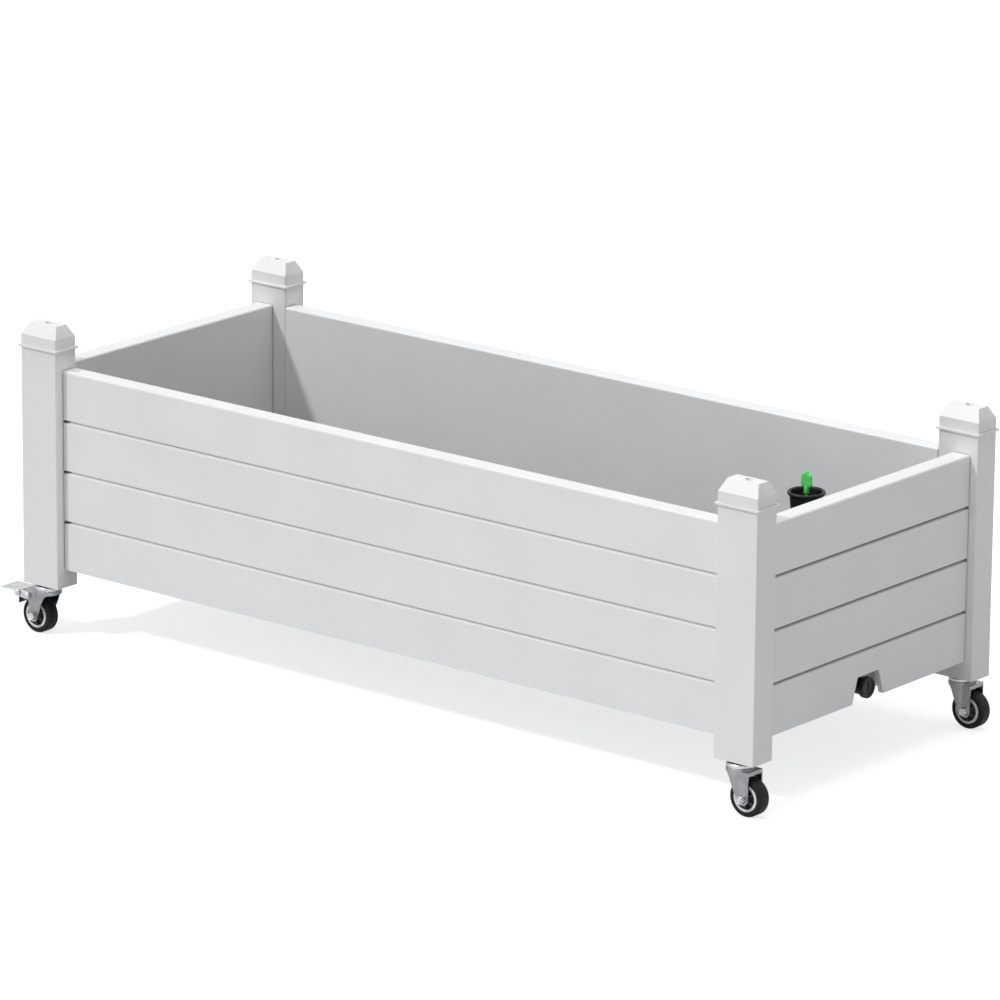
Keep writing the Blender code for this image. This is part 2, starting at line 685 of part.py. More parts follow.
def make_float(frame):
    """The foam float, its rod and the flag on top, all on the filler's axis."""
    carrier = empty("float_axis", frame, (FILLER_X, 0, 0))
    bottom = TRAY_FLOOR + FLOAT_FLOOR_GAP
    foot_top = bottom + ROD_FOOT_THICKNESS
    top = foot_top + GAP + FLOAT_HEIGHT
    bore = ROD_RADIUS + GAP
    disc = [
        (bore, foot_top + GAP),
        (FLOAT_RADIUS - EDGE, foot_top + GAP),
        (FLOAT_RADIUS, foot_top + GAP + EDGE),
        (FLOAT_RADIUS, top - EDGE),
        (FLOAT_RADIUS - EDGE, top),
        (bore, top),
    ]
    finish_object("float_disc", turned(disc, 20), FOAM, carrier, smooth=35)
    rod_top = FLAG_BOTTOM + FLAG_SOCKET_DEPTH
    rod = [(0, bottom), (ROD_FOOT, bottom), (ROD_FOOT, foot_top), (ROD_RADIUS, foot_top)]
    rod += [(ROD_RADIUS, rod_top), (0, rod_top)]
    finish_object("float_rod", turned(rod, 12), GREEN_RESIN, carrier, smooth=35)
    half = (FLAG_HEIGHT - FLAG_STALK) / 2
    middle = FLAG_BOTTOM + FLAG_STALK + half
    leaf = []
    steps = 8 * FLAG_LOBES
    for i in range(steps):
        angle = 2 * pi * i / steps
        swell = 1 - FLAG_SWELL + FLAG_SWELL * cos(FLAG_LOBES * (angle - pi / 2))
        leaf.append((FLAG_WIDTH / 2 * swell * cos(angle), middle + half * swell * sin(angle)))
    flag = finish_object(
        "level_flag", prism(leaf, -FLAG_THICKNESS / 2, FLAG_THICKNESS / 2, "Y"), GREEN_RESIN, carrier
    )
    socket = cylinder(FLAG_SOCKET, FLAG_BOTTOM, FLAG_BOTTOM + FLAG_SOCKET_HEIGHT, 16)
    boolean(flag, socket, "UNION")
    boolean(flag, cylinder(bore, FLAG_BOTTOM - OVERRUN, rod_top + GAP, 12), "DIFFERENCE")


def make_drain(frame):
    seal_start = TRAY_X + GAP
    flange_start = seal_start + SEAL_THICKNESS + GAP
    face = END_FACE + PLUG_PROUD
    head_start = face - PLUG_HEAD
    bush_end = head_start - GAP
    place = (0, DRAIN_Y, DRAIN_Z)
    seal = [
        (BUSH_NECK + GAP, seal_start),
        (BUSH_FLANGE, seal_start),
        (BUSH_FLANGE, seal_start + SEAL_THICKNESS),
        (BUSH_NECK + GAP, seal_start + SEAL_THICKNESS),
    ]
    finish_object("drain_seal", turned(seal, 20, "X"), BLACK_RUBBER, frame, place, smooth=35)
    bush = [
        (BUSH_NECK, TRAY_X - TRAY_WALL - BUSH_INSIDE),
        (BUSH_NECK, flange_start),
        (BUSH_FLANGE, flange_start),
        (BUSH_FLANGE, flange_start + BUSH_FLANGE_THICKNESS),
        (BUSH_BARREL, flange_start + BUSH_FLANGE_THICKNESS),
        (BUSH_BARREL, bush_end),
        (DRAIN_BORE, bush_end),
        (DRAIN_BORE, TRAY_X - TRAY_WALL - BUSH_INSIDE),
    ]
    finish_object("drain_bush", turned(bush, 20, "X"), BLACK_RESIN, frame, place, smooth=35)
    turner = empty("drain_plug_axis", frame, place)
    shank = DRAIN_BORE - GAP
    floor = PLUG_RADIUS - PLUG_RING
    plug = [
        (0, head_start - PLUG_SHANK),
        (shank, head_start - PLUG_SHANK),
        (shank, head_start),
        (PLUG_RADIUS, head_start),
        (PLUG_RADIUS, face - EDGE),
        (PLUG_RADIUS - EDGE, face),
        (floor, face),
        (floor - EDGE, face - EDGE),
        (0, face - EDGE),
    ]
    head = finish_object("drain_plug", turned(plug, 32, "X"), BLACK_RESIN, turner, smooth=30)
    half = PLUG_SLOT_WIDTH / 2
    reach = PLUG_SLOT_LENGTH / 2
    low = (face - PLUG_SLOT_DEPTH, -half, -reach)
    boolean(head, box(low, (face + NIP, half, reach)), "DIFFERENCE")


def fork_side(braked):
    """The fork's outline seen from the side, as (x, z): a plate on top, a slanted front and a round foot."""
    front = -BOWL_RADIUS - NIP
    outline = [(front, PLATE_TOP), (front, PLATE_BOTTOM)]
    outline += [(-BROW_REACH, PLATE_BOTTOM - BROW_DROP), (-SHOULDER_REACH, PLATE_BOTTOM - SHOULDER_DROP)]
    outline += arc((CASTER_TRAIL, WHEEL_RADIUS), FORK_FOOT, 201, 360, 8)
    if braked:
        outline += [(FORK_BACK, BRAKE_PIVOT_Z - 1.4 * EAR_RADIUS)]
        outline += arc((BRAKE_PIVOT_X, BRAKE_PIVOT_Z), EAR_RADIUS, -100, 0, 5)
        outline += [(BRAKE_PIVOT_X + EAR_RADIUS, PLATE_TOP)]
    else:
        outline += [(FORK_BACK, PLATE_TOP)]
    return outline


def fork_plan(shrink, fullness, back):
    """The fork's outline seen from above, as (x, y): a round bowl in front, then two flat legs.

    fullness is 1 where the bowl stands out from the legs and 0 where it has sunk to them.
    """
    radius = BOWL_RADIUS - shrink
    half = FORK_HALF - shrink
    end = degrees(acos(BOWL_END / radius))
    squeeze = fullness + (1 - fullness) * half / (radius * sin(radians(end)))
    bowl = [(x, y * squeeze) for x, y in arc((0, 0), radius, end, 360 - end, 14)]
    knee = BOWL_END + BOWL_STEP
    return [(back, half), (knee, half)] + bowl + [(knee, -half), (back, -half)]


def fork_shell(shrink, back, top):
    low = WHEEL_RADIUS - FORK_FOOT - 2 * NIP - shrink
    foot_top = WHEEL_RADIUS + FORK_FOOT
    fullness = (top - foot_top) / (PLATE_TOP - foot_top)
    flat = fork_plan(shrink, 0, back)
    return loft([(flat, low), (flat, foot_top), (fork_plan(shrink, fullness, back), top)])


def make_fork(name, parent, braked):
    back = BRAKE_PIVOT_X + EAR_RADIUS + OVERRUN
    fork = finish_object(name, fork_shell(0, back, PLATE_TOP), ZINC, parent, smooth=35)
    boolean(fork, prism(fork_side(braked), -CASTER_SPAN, CASTER_SPAN, "Y"), "INTERSECT")
    brim = BOWL_RADIUS - EDGE / 2
    root = PLATE_BOTTOM + EDGE / 2
    bowl = [(0, root), (brim, root), (brim, BOWL_TOP - EDGE), (brim - EDGE, BOWL_TOP), (0, BOWL_TOP)]
    boolean(fork, turned(bowl, 32), "UNION")
    boolean(fork, fork_shell(FORK_SHEET, back + OVERRUN, PLATE_BOTTOM), "DIFFERENCE")
    under = cylinder(brim - FORK_PLATE, PLATE_BOTTOM - 2 * NIP, BOWL_TOP - FORK_PLATE, 32)
    boolean(fork, under, "DIFFERENCE")
    neck = cylinder(NECK_RADIUS + GAP, PLATE_BOTTOM - OVERRUN, BOWL_TOP + OVERRUN, 20)
    boolean(fork, neck, "DIFFERENCE")
    if not braked:
        half = FORK_HALF - EDGE / 2
        low = (FORK_BACK - FORK_SHEET, -half, PLATE_TOP - FORK_LIP)
        high = (FORK_BACK - EDGE / 4, half, PLATE_TOP - FORK_PLATE / 2)
        boolean(fork, box(low, high), "UNION")
    axle = cylinder(AXLE_RADIUS + GAP, -CASTER_SPAN, CASTER_SPAN, 20, "Y")
    boolean(fork, moved(axle, (CASTER_TRAIL, 0, WHEEL_RADIUS)), "DIFFERENCE")
    if braked:
        pivot = cylinder(PIN_RADIUS + GAP, -CASTER_SPAN, CASTER_SPAN, 16, "Y")
        boolean(fork, moved(pivot, (BRAKE_PIVOT_X, 0, BRAKE_PIVOT_Z)), "DIFFERENCE")


def make_stem(name, parent):
    """Threaded stem with its collar and race cover, the neck through the bowl and the riveted head in it."""
    head_top = BOWL_TOP - FORK_PLATE - GAP
    head_bottom = head_top - STEM_HEAD_THICKNESS
    stem_top = POST_BOTTOM + STEM_LENGTH
    profile = [
        (0, head_bottom),
        (STEM_HEAD_RADIUS - EDGE, head_bottom),
        (STEM_HEAD_RADIUS, head_bottom + EDGE),
        (STEM_HEAD_RADIUS, head_top),
        (NECK_RADIUS, head_top),
        (NECK_RADIUS, RACE_BOTTOM),
        (RACE_RADIUS - EDGE / 2, RACE_BOTTOM),
        (RACE_RADIUS, RACE_BOTTOM + EDGE / 2),
        (RACE_RADIUS, RACE_TOP - RACE_ROUND),
        (RACE_RADIUS - 0.3 * RACE_ROUND, RACE_TOP - 0.4 * RACE_ROUND),
        (RACE_RADIUS - 0.9 * RACE_ROUND, RACE_TOP),
        (COLLAR_RADIUS, RACE_TOP),
        (COLLAR_RADIUS, COLLAR_TOP),
        (STEM_RADIUS, COLLAR_TOP),
        (STEM_RADIUS, stem_top - EDGE),
        (STEM_RADIUS - EDGE, stem_top),
        (0, stem_top),
    ]
    finish_object(name, turned(profile, 20), ZINC, parent, smooth=35)


def make_wheel(prefix, parent):
    half = TYRE_WIDTH / 2
    hub_half = HUB_WIDTH / 2
    ring_half = HUB_RING_WIDTH / 2
    ring_outer = TYRE_INNER - GAP
    bore = AXLE_RADIUS + GAP
    side = [(bore, hub_half), (HUB_BOSS, hub_half), (HUB_BOSS + EDGE, HUB_WEB / 2)]
    side += [(HUB_RING_INNER, HUB_WEB / 2), (HUB_RING_INNER + EDGE, ring_half), (ring_outer, ring_half)]
    hub = [(r, -y) for r, y in side] + [(r, y) for r, y in reversed(side)]
    finish_object(f"{prefix}_wheel_hub", turned(hub, HUB_STEPS, "Y"), HUB_RESIN, parent, smooth=35)
    shoulder = arc((WHEEL_RADIUS - TYRE_SHOULDER, half - TYRE_SHOULDER), TYRE_SHOULDER, 90, 20, 2)
    side = [(TYRE_INNER, half)] + shoulder + [(WHEEL_RADIUS, 0.25 * half)]
    tyre = [(r, -y) for r, y in side] + [(r, y) for r, y in reversed(side)]
    finish_object(f"{prefix}_tyre", turned(tyre, TYRE_STEPS, "Y"), BLACK_RUBBER, parent, smooth=40)


def make_axle(prefix, parent, nut_side):
    """Axle bolt and nut; nut_side is -1 or 1 along the caster's own Y."""
    grip = FORK_HALF + GAP
    flats = hexagon(NUT_FLATS)
    nut_range = sorted((nut_side * grip, nut_side * (grip + NUT_HEIGHT)))
    nut = finish_object(f"{prefix}_axle_nut", prism(flats, *nut_range, "Y"), ZINC, parent)
    boolean(nut, cylinder(AXLE_RADIUS + GAP, -CASTER_SPAN, CASTER_SPAN, 20, "Y"), "DIFFERENCE")
    head_range = sorted((-nut_side * grip, -nut_side * (grip + BOLT_HEAD_HEIGHT)))
    bolt = finish_object(f"{prefix}_axle_bolt", prism(flats, *head_range, "Y"), ZINC, parent)
    start = -nut_side * (grip + BOLT_HEAD_HEIGHT / 2)
    end = nut_side * (grip + NUT_HEIGHT + BOLT_TIP)
    shank = cylinder(AXLE_RADIUS, min(start, end), max(start, end), 20, "Y")
    boolean(bolt, shank, "UNION")


def pin(name, parent, reach):
    """A pin along Y with a domed head at each end."""
    head = reach + PIN_HEAD_THICKNESS
    side = [(PIN_RADIUS, reach), (PIN_HEAD_RADIUS, reach), (PIN_HEAD_RADIUS, reach + EDGE)]
    side += [(PIN_HEAD_RADIUS * 0.7, head), (0, head)]
    profile = [(r, -y) for r, y in reversed(side)] + side
    finish_object(name, turned(profile, 12, "Y"), ZINC, parent, smooth=40)


def pedal_underside(x):
    """Height of the pedal plate's underside at a distance forwards of the pivot."""
    slope = PEDAL_RISE / (PEDAL_BEND - PEDAL_START)
    return PEDAL_LEVEL - PEDAL_SHEET + slope * max(0, PEDAL_BEND - x)


def make_pedal(name, parent):
    """A stamped lever: a bent plate with a flange down each side, outside the fork's ears."""
    inner = FORK_HALF + GAP
    outer = inner + PEDAL_SHEET
    under = [(x, pedal_underside(x)) for x in (PEDAL_START, PEDAL_BEND, PEDAL_TIP)]
    plate = under + [(x, z + PEDAL_SHEET) for x, z in reversed(under)]
    pedal = finish_object(name, prism(plate, -outer, outer, "Y"), ZINC, parent, smooth=35)
    flange = arc((0, 0), EAR_RADIUS, 120, 270, 6)
    flange += [(RIVET_FORWARD, -PEDAL_FLANGE_FOOT)]
    for x in (PEDAL_FLANGE_END, PEDAL_START):
        flange.append((x, pedal_underside(x) + PEDAL_SHEET / 2))
    for low, high in ((-outer, -inner), (inner, outer)):
        boolean(pedal, prism(flange, low, high, "Y"), "UNION")
    for x, z in ((0, 0), (RIVET_FORWARD, RIVET_RISE)):
        hole = cylinder(PIN_RADIUS + GAP, -CASTER_SPAN, CASTER_SPAN, 16, "Y")
        boolean(pedal, moved(hole, (x, 0, z)), "DIFFERENCE")


def make_pad(name, parent):
    outline = [(PAD_START, -PAD_TOE_DROP), (PAD_END, -PAD_HEEL_DROP)]
    outline += [(x, pedal_underside(x) - GAP) for x in (PAD_END, PAD_START)]
    pad = finish_object(name, prism(outline, -PAD_WIDTH / 2, PAD_WIDTH / 2, "Y"), BLACK_RUBBER, parent)
    hole = cylinder(PIN_RADIUS + GAP, -CASTER_SPAN, CASTER_SPAN, 16, "Y")
    boolean(pad, moved(hole, (RIVET_FORWARD, 0, RIVET_RISE)), "DIFFERENCE")


def make_caster(prefix, side, face, frame):
    braked = side < 0
    turn = pi if braked else 0
    mount = empty(f"{prefix}_caster", frame, (side * POST_CENTRE_X, face * CASTER_Y, 0), turn)
    make_stem(f"{prefix}_caster_stem", mount)
    swivel = empty(f"{prefix}_swivel_axis", mount)
    make_fork(f"{prefix}_caster_fork", swivel, braked)
    axle = empty(f"{prefix}_wheel_axis", swivel, (CASTER_TRAIL, 0, WHEEL_RADIUS))
    make_wheel(prefix, axle)
    make_axle(prefix, axle, face)
    if braked:
        hinge = empty(f"{prefix}_pedal_axis", swivel, (BRAKE_PIVOT_X, 0, BRAKE_PIVOT_Z))
        head = FORK_HALF + PEDAL_SHEET + 2 * GAP
        pin(f"{prefix}_brake_pivot_pin", hinge, head)
        make_pedal(f"{prefix}_brake_pedal", hinge)
        make_pad(f"{prefix}_brake_pad", hinge)
        rivet = empty(f"{prefix}_rivet_place", hinge, (RIVET_FORWARD, 0, RIVET_RISE))
        pin(f"{prefix}_brake_pad_rivet", rivet, head)


def main():
    clear_scene()
    frame = empty("planter", None, (FRAME_SHIFT, 0, 0))
    make_corners(frame)
    make_panels(frame)
    make_cross_bars(frame)
    make_tray(frame)
    make_platform(frame)
    make_filler(frame)
    make_float(frame)
    make_drain(frame)
    for side, across in ((-1, "left"), (1, "right")):
        for face, depth in ((-1, "front"), (1, "rear")):
            make_caster(f"{depth}_{across}", side, face, frame)


main()
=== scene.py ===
"""Looks for the rolling planter box: fine edges, turned wheels, resin, zinc and rubber, soft studio light."""

import json
from math import cos, pi, radians, sin

import bmesh
import bpy
from mathutils import Matrix, Vector


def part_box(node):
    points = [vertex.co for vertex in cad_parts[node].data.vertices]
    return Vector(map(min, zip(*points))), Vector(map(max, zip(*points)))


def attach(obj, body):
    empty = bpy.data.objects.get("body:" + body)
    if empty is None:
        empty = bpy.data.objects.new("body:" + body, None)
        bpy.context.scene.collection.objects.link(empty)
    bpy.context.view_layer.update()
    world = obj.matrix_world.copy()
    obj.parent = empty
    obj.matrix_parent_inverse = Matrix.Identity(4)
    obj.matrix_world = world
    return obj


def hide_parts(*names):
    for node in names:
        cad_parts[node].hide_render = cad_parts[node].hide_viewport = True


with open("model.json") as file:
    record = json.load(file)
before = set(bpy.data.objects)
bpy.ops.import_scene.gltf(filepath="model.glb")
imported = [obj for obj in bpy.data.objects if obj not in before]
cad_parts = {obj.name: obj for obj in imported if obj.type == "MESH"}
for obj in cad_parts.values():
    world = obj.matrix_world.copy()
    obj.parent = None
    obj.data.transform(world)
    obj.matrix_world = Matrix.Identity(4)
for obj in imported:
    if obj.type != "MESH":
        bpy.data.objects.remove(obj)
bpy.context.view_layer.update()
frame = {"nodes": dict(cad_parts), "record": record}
NODES = frame["nodes"]
CORNERS = ("front_left", "front_right", "rear_left", "rear_right")
BODY_OF = {node: body for body, nodes in frame["record"]["behaviour"]["bodies"].items() for node in nodes}
SLOT_OF = {entry["node"]: entry["material_slot"] for entry in frame["record"]["subparts"]}
MM = 0.001


# ---------------------------------------------------------------- camera

CAMERA_PLACE = (5.5380, -6.7896, 2.7486)
CAMERA_TURN = (0.6824, 0.2785, 0.0085)
CAMERA_LENS = 248.2
CAMERA_SENSOR = 36
CAMERA_REACH = 60


def aim_camera():
    """A long lens looks down on the front right corner."""
    yaw, pitch, roll = CAMERA_TURN
    forward = Vector((-sin(yaw) * cos(pitch), cos(yaw) * cos(pitch), -sin(pitch)))
    right = Vector((cos(yaw), sin(yaw), 0))
    up = right.cross(forward)
    across = right * cos(roll) + up * sin(roll)
    above = up * cos(roll) - right * sin(roll)
    data = bpy.data.cameras.new("studio_camera")
    camera = bpy.data.objects.new("studio_camera", data)
    bpy.context.scene.collection.objects.link(camera)
    turn = Matrix((across, above, -forward)).transposed().to_4x4()
    camera.matrix_world = Matrix.Translation(CAMERA_PLACE) @ turn
    data.sensor_width = CAMERA_SENSOR
    data.lens = CAMERA_LENS
    data.clip_end = CAMERA_REACH
    bpy.context.scene.camera = camera


# ---------------------------------------------------------------- stage and light

FLOOR_RADIUS = 14
FLOOR_DROP = 0.0002
FLOOR_GREY = 0.64
FLOOR_GLOW = 0.72
FLOOR_MIRROR_GLOW = 0.36
WORLD_LEVEL = 0.395
WORLD_SEEN = 1.0
SUN_STRENGTH = 1.38
SUN_FROM = (-0.360, -0.623, 0.695)
SUN_SPREAD = 5
LAMP_TARGET = (0, 0, 0.2)
LAMPS = (
    # name, place, size, power
    ("top_softbox", (0.3, -0.3, 3.8), 2.6, 58.0),
    ("right_fill", (4.4, -1.2, 1.6), 1.8, 2.0),
)


def emission_for_camera(tree, shader, level, mirror_level):
    """Adds plain light to a surface for what the camera, or a mirror of it, sees directly."""
    nodes, links = tree.nodes, tree.links
    path = nodes.new("ShaderNodeLightPath")
    strengths = []
    for ray, amount in (("Is Camera Ray", level), ("Is Glossy Ray", mirror_level)):
        part = nodes.new("ShaderNodeMath")
        part.operation = "MULTIPLY"
        part.inputs[1].default_value = amount
        links.new(path.outputs[ray], part.inputs[0])
        strengths.append(part)
    most = nodes.new("ShaderNodeMath")
    most.operation = "MAXIMUM"
    links.new(strengths[0].outputs[0], most.inputs[0])
    links.new(strengths[1].outputs[0], most.inputs[1])
    glow = nodes.new("ShaderNodeEmission")
    links.new(most.outputs[0], glow.inputs["Strength"])
    add = nodes.new("ShaderNodeAddShader")
    links.new(shader.outputs[0], add.inputs[0])
    links.new(glow.outputs[0], add.inputs[1])
    return add


def make_floor():
    bm = bmesh.new()
    bmesh.ops.create_circle(bm, cap_ends=True, segments=64, radius=FLOOR_RADIUS)
    mesh = bpy.data.meshes.new("studio_floor")
    bm.to_mesh(mesh)
    bm.free()
    floor = bpy.data.objects.new("studio_floor", mesh)
    floor.location = (0, 0, -FLOOR_DROP)
    bpy.context.scene.collection.objects.link(floor)
    made = bpy.data.materials.new("studio_floor_paper")
    made.use_nodes = True
    tree = made.node_tree
    tree.nodes.clear()
    diffuse = tree.nodes.new("ShaderNodeBsdfDiffuse")
    diffuse.inputs["Color"].default_value = (FLOOR_GREY, FLOOR_GREY, FLOOR_GREY, 1)
    lit = emission_for_camera(tree, diffuse, FLOOR_GLOW, FLOOR_MIRROR_GLOW)
    out = tree.nodes.new("ShaderNodeOutputMaterial")
    tree.links.new(lit.outputs[0], out.inputs["Surface"])
    mesh.materials.append(made)


def make_world():
    world = bpy.data.worlds.new("studio_world")
    bpy.context.scene.world = world
    world.use_nodes = True
    tree = world.node_tree
    tree.nodes.clear()
    path = tree.nodes.new("ShaderNodeLightPath")
    seen = tree.nodes.new("ShaderNodeMath")
    seen.operation = "MAXIMUM"
    tree.links.new(path.outputs["Is Camera Ray"], seen.inputs[0])
    tree.links.new(path.outputs["Is Transmission Ray"], seen.inputs[1])
    mirrored = tree.nodes.new("ShaderNodeMath")
    mirrored.operation = "MAXIMUM"
    tree.links.new(seen.outputs[0], mirrored.inputs[0])
    tree.links.new(path.outputs["Is Glossy Ray"], mirrored.inputs[1])
    mix = tree.nodes.new("ShaderNodeMixShader")
    tree.links.new(mirrored.outputs[0], mix.inputs["Fac"])
    for slot, strength in ((1, WORLD_LEVEL), (2, WORLD_SEEN)):
        background = tree.nodes.new("ShaderNodeBackground")
        background.inputs["Color"].default_value = (1, 1, 1, 1)
        background.inputs["Strength"].default_value = strength
        tree.links.new(background.outputs[0], mix.inputs[slot])
    out = tree.nodes.new("ShaderNodeOutputWorld")
    tree.links.new(mix.outputs[0], out.inputs["Surface"])


def aim(lamp, towards):
    lamp.rotation_euler = Vector(towards).to_track_quat("-Z", "Y").to_euler()


def make_lamps():
    for name, place, size, power in LAMPS:
        data = bpy.data.lights.new(name, "AREA")
        data.shape = "SQUARE"
        data.size = size
        data.energy = power
        lamp = bpy.data.objects.new(name, data)
        bpy.context.scene.collection.objects.link(lamp)
        lamp.location = place
        aim(lamp, Vector(LAMP_TARGET) - Vector(place))
    data = bpy.data.lights.new("key_sun", "SUN")
    data.energy = SUN_STRENGTH
    data.angle = radians(SUN_SPREAD)
    lamp = bpy.data.objects.new("key_sun", data)
    bpy.context.scene.collection.objects.link(lamp)
    aim(lamp, -Vector(SUN_FROM))


# ---------------------------------------------------------------- materials

EDGE_SAMPLES = 4
EDGE_TURN = (0.90, 0.995)
CREASE_SAMPLES = 8


class Finish:
    """A Principled material with helpers for the noise, colour and bump that feed it."""

    def __init__(self, name, roughness, metallic=0.0, **sockets):
        self.material = bpy.data.materials.new(name)
        self.material.use_nodes = True
        self.tree = self.material.node_tree
        self.shader = self.tree.nodes["Principled BSDF"]
        self.shader.inputs["Roughness"].default_value = roughness
        self.shader.inputs["Metallic"].default_value = metallic
        for socket, value in sockets.items():
            self.shader.inputs[socket.replace("_", " ")].default_value = value
        self.place = self.tree.nodes.new("ShaderNodeTexCoord")

    def noise(self, scale, detail=4.0, stretch=(1, 1, 1)):
        mapping = self.tree.nodes.new("ShaderNodeMapping")
        mapping.inputs["Scale"].default_value = stretch
        self.tree.links.new(self.place.outputs["Object"], mapping.inputs["Vector"])
        made = self.tree.nodes.new("ShaderNodeTexNoise")
        made.inputs["Scale"].default_value = scale
        made.inputs["Detail"].default_value = detail
        self.tree.links.new(mapping.outputs[0], made.inputs["Vector"])
        return made.outputs["Fac"]

    def range(self, value, low, high, start=0.3, end=0.7):
        made = self.tree.nodes.new("ShaderNodeMapRange")
        made.inputs["From Min"].default_value = start
        made.inputs["From Max"].default_value = end
        made.inputs["To Min"].default_value = low
        made.inputs["To Max"].default_value = high
        self.tree.links.new(value, made.inputs["Value"])
        return made.outputs["Result"]

    def ramp(self, value, stops):
        made = self.tree.nodes.new("ShaderNodeValToRGB")
        ramp = made.color_ramp
        while len(ramp.elements) < len(stops):
            ramp.elements.new(0.5)
        for element, (position, colour) in zip(ramp.elements, stops):
            element.position = position
            element.color = (*colour, 1)
        self.tree.links.new(value, made.inputs["Fac"])
        return made.outputs["Color"]

    def mix(self, factor, first, second):
        made = self.tree.nodes.new("ShaderNodeMix")
        made.data_type = "RGBA"
        self.tree.links.new(factor, made.inputs["Factor"])
        for socket, value in ((made.inputs[6], first), (made.inputs[7], second)):
            if isinstance(value, tuple):
                socket.default_value = (*value, 1)
            else:
                self.tree.links.new(value, socket)
        return made.outputs[2]

    def edges(self, width):
        """1 on edges, 0 on flats: where a rounding of this width would turn the surface; the finishes paint a
        highlight there.
        """
        geometry = self.tree.nodes.new("ShaderNodeNewGeometry")
        rounded = self.tree.nodes.new("ShaderNodeBevel")
        rounded.samples = EDGE_SAMPLES
        rounded.inputs["Radius"].default_value = width
        match = self.tree.nodes.new("ShaderNodeVectorMath")
        match.operation = "DOT_PRODUCT"
        self.tree.links.new(geometry.outputs["Normal"], match.inputs[0])
        self.tree.links.new(rounded.outputs["Normal"], match.inputs[1])
        return self.range(match.outputs["Value"], 1.0, 0.0, *EDGE_TURN)

    def painted_crease_mask(self, distance, start, end):
        """0 deep in grooves and corners, 1 on open faces: where light and shade are painted into the
        moulding.
        """
        shade = self.tree.nodes.new("ShaderNodeAmbientOcclusion")
        shade.samples = CREASE_SAMPLES
        shade.inputs["Distance"].default_value = distance
        return self.range(shade.outputs["AO"], 0.0, 1.0, start, end)

    def beyond(self, middle, half):
        """1 further than half from the middle along X, 0 nearer: picks out the two ends of a long piece."""
        parts = self.tree.nodes.new("ShaderNodeSeparateXYZ")
        self.tree.links.new(self.place.outputs["Object"], parts.inputs[0])
        value = parts.outputs[0]
        for operation, amount in (("SUBTRACT", middle), ("ABSOLUTE", 0.0), ("GREATER_THAN", half)):
            step = self.tree.nodes.new("ShaderNodeMath")
            step.operation = operation
            step.inputs[1].default_value = amount
            self.tree.links.new(value, step.inputs[0])
            value = step.outputs[0]
        return value

    def bump(self, value, strength, distance, onto=None):
        made = self.tree.nodes.new("ShaderNodeBump")
        made.inputs["Strength"].default_value = strength
        made.inputs["Distance"].default_value = distance
        self.tree.links.new(value, made.inputs["Height"])
        if onto is not None:
            self.tree.links.new(onto, made.inputs["Normal"])
        return made.outputs["Normal"]

    def set(self, socket, value):
        self.tree.links.new(value, self.shader.inputs[socket])


# Painted light and shade in grooves and corners: a painted shade for most resin, a lighter colour that paints
# the long panels' grooves lighter, and a near-black painted shade in those panels' grooves within GROOVE_END
# of their ends, next to the posts.
DEEP_SHADE = (0.20, 0.205, 0.21)
GROOVE_PAINTED_LIGHT = (0.86, 0.865, 0.875)
END_SHADE = (0.02, 0.02, 0.022)
GROOVE_END = 0.018
CREASE_REACH = 0.008
CREASE_START, CREASE_END = 0.25, 0.62
RESIN_EDGE = 0.0006
FINE_EDGE = 0.0004


def white_resin(name, painted_groove_tone, ends=None):
    """Moulded white resin: faint mottling, a fine pearl grain, and a slow waviness from the mould, with a
    painted highlight along edges and painted light and shade in grooves and corners.
    """
    made = Finish(name, 0.42)
    mottle = made.ramp(made.noise(9, 3), [(0.35, (0.788, 0.798, 0.812)), (0.70, (0.820, 0.829, 0.841))])
    # The mottling, lighter along edges as a painted highlight.
    highlit_mottle = made.mix(made.edges(RESIN_EDGE), mottle, (0.86, 0.865, 0.87))
    # Near the ends of a long panel the grooves take a near-black painted shade.
    shade = made.mix(made.beyond(*ends), painted_groove_tone, END_SHADE) if ends else painted_groove_tone
    # Grooves and corners take the colour passed for them: painted shade on most resin, painted light on the
    # long panels.
    painted_crease_mask = made.painted_crease_mask(CREASE_REACH, CREASE_START, CREASE_END)
    made.set("Base Color", made.mix(painted_crease_mask, shade, highlit_mottle))
    made.set("Roughness", made.range(made.noise(60, 4), 0.38, 0.50))
    wave = made.bump(made.noise(5, 2), 0.15, 0.0012)
    made.set("Normal", made.bump(made.noise(1300, 3), 0.20, 0.00012, wave))
    return made.material


def grey_resin():
    made = Finish("grey_resin", 0.5)
    base = made.ramp(made.noise(14, 4), [(0.3, (0.46, 0.47, 0.48)), (0.7, (0.56, 0.57, 0.58))])
    made.set("Base Color", base)
    made.set("Roughness", made.range(made.noise(80, 4), 0.44, 0.60))
    made.set("Normal", made.bump(made.noise(1100, 3), 0.25, 0.00015))
    return made.material


def black_resin():
    made = Finish("black_resin", 0.42, Specular_IOR_Level=0.30)
    base = made.ramp(made.noise(40, 4), [(0.3, (0.005, 0.005, 0.006)), (0.7, (0.011, 0.011, 0.013))])
    # Lighter along edges: a painted highlight.
    made.set("Base Color", made.mix(made.edges(FINE_EDGE), base, (0.045, 0.045, 0.048)))
    made.set("Roughness", made.range(made.noise(130, 4), 0.34, 0.52))
    made.set("Normal", made.bump(made.noise(1400, 3), 0.30, 0.00012))
    return made.material


def rubber(name, dark, light, roughness):
    made = Finish(name, roughness, Specular_IOR_Level=0.20)
    base = made.ramp(made.noise(90, 5), [(0.3, (dark,) * 3), (0.7, (light,) * 3)])
    made.set("Base Color", base)
    made.set("Roughness", made.range(made.noise(160, 4), roughness - 0.08, roughness + 0.10))
    made.set("Normal", made.bump(made.noise(1500, 4), 0.35, 0.00015))
    return made.material


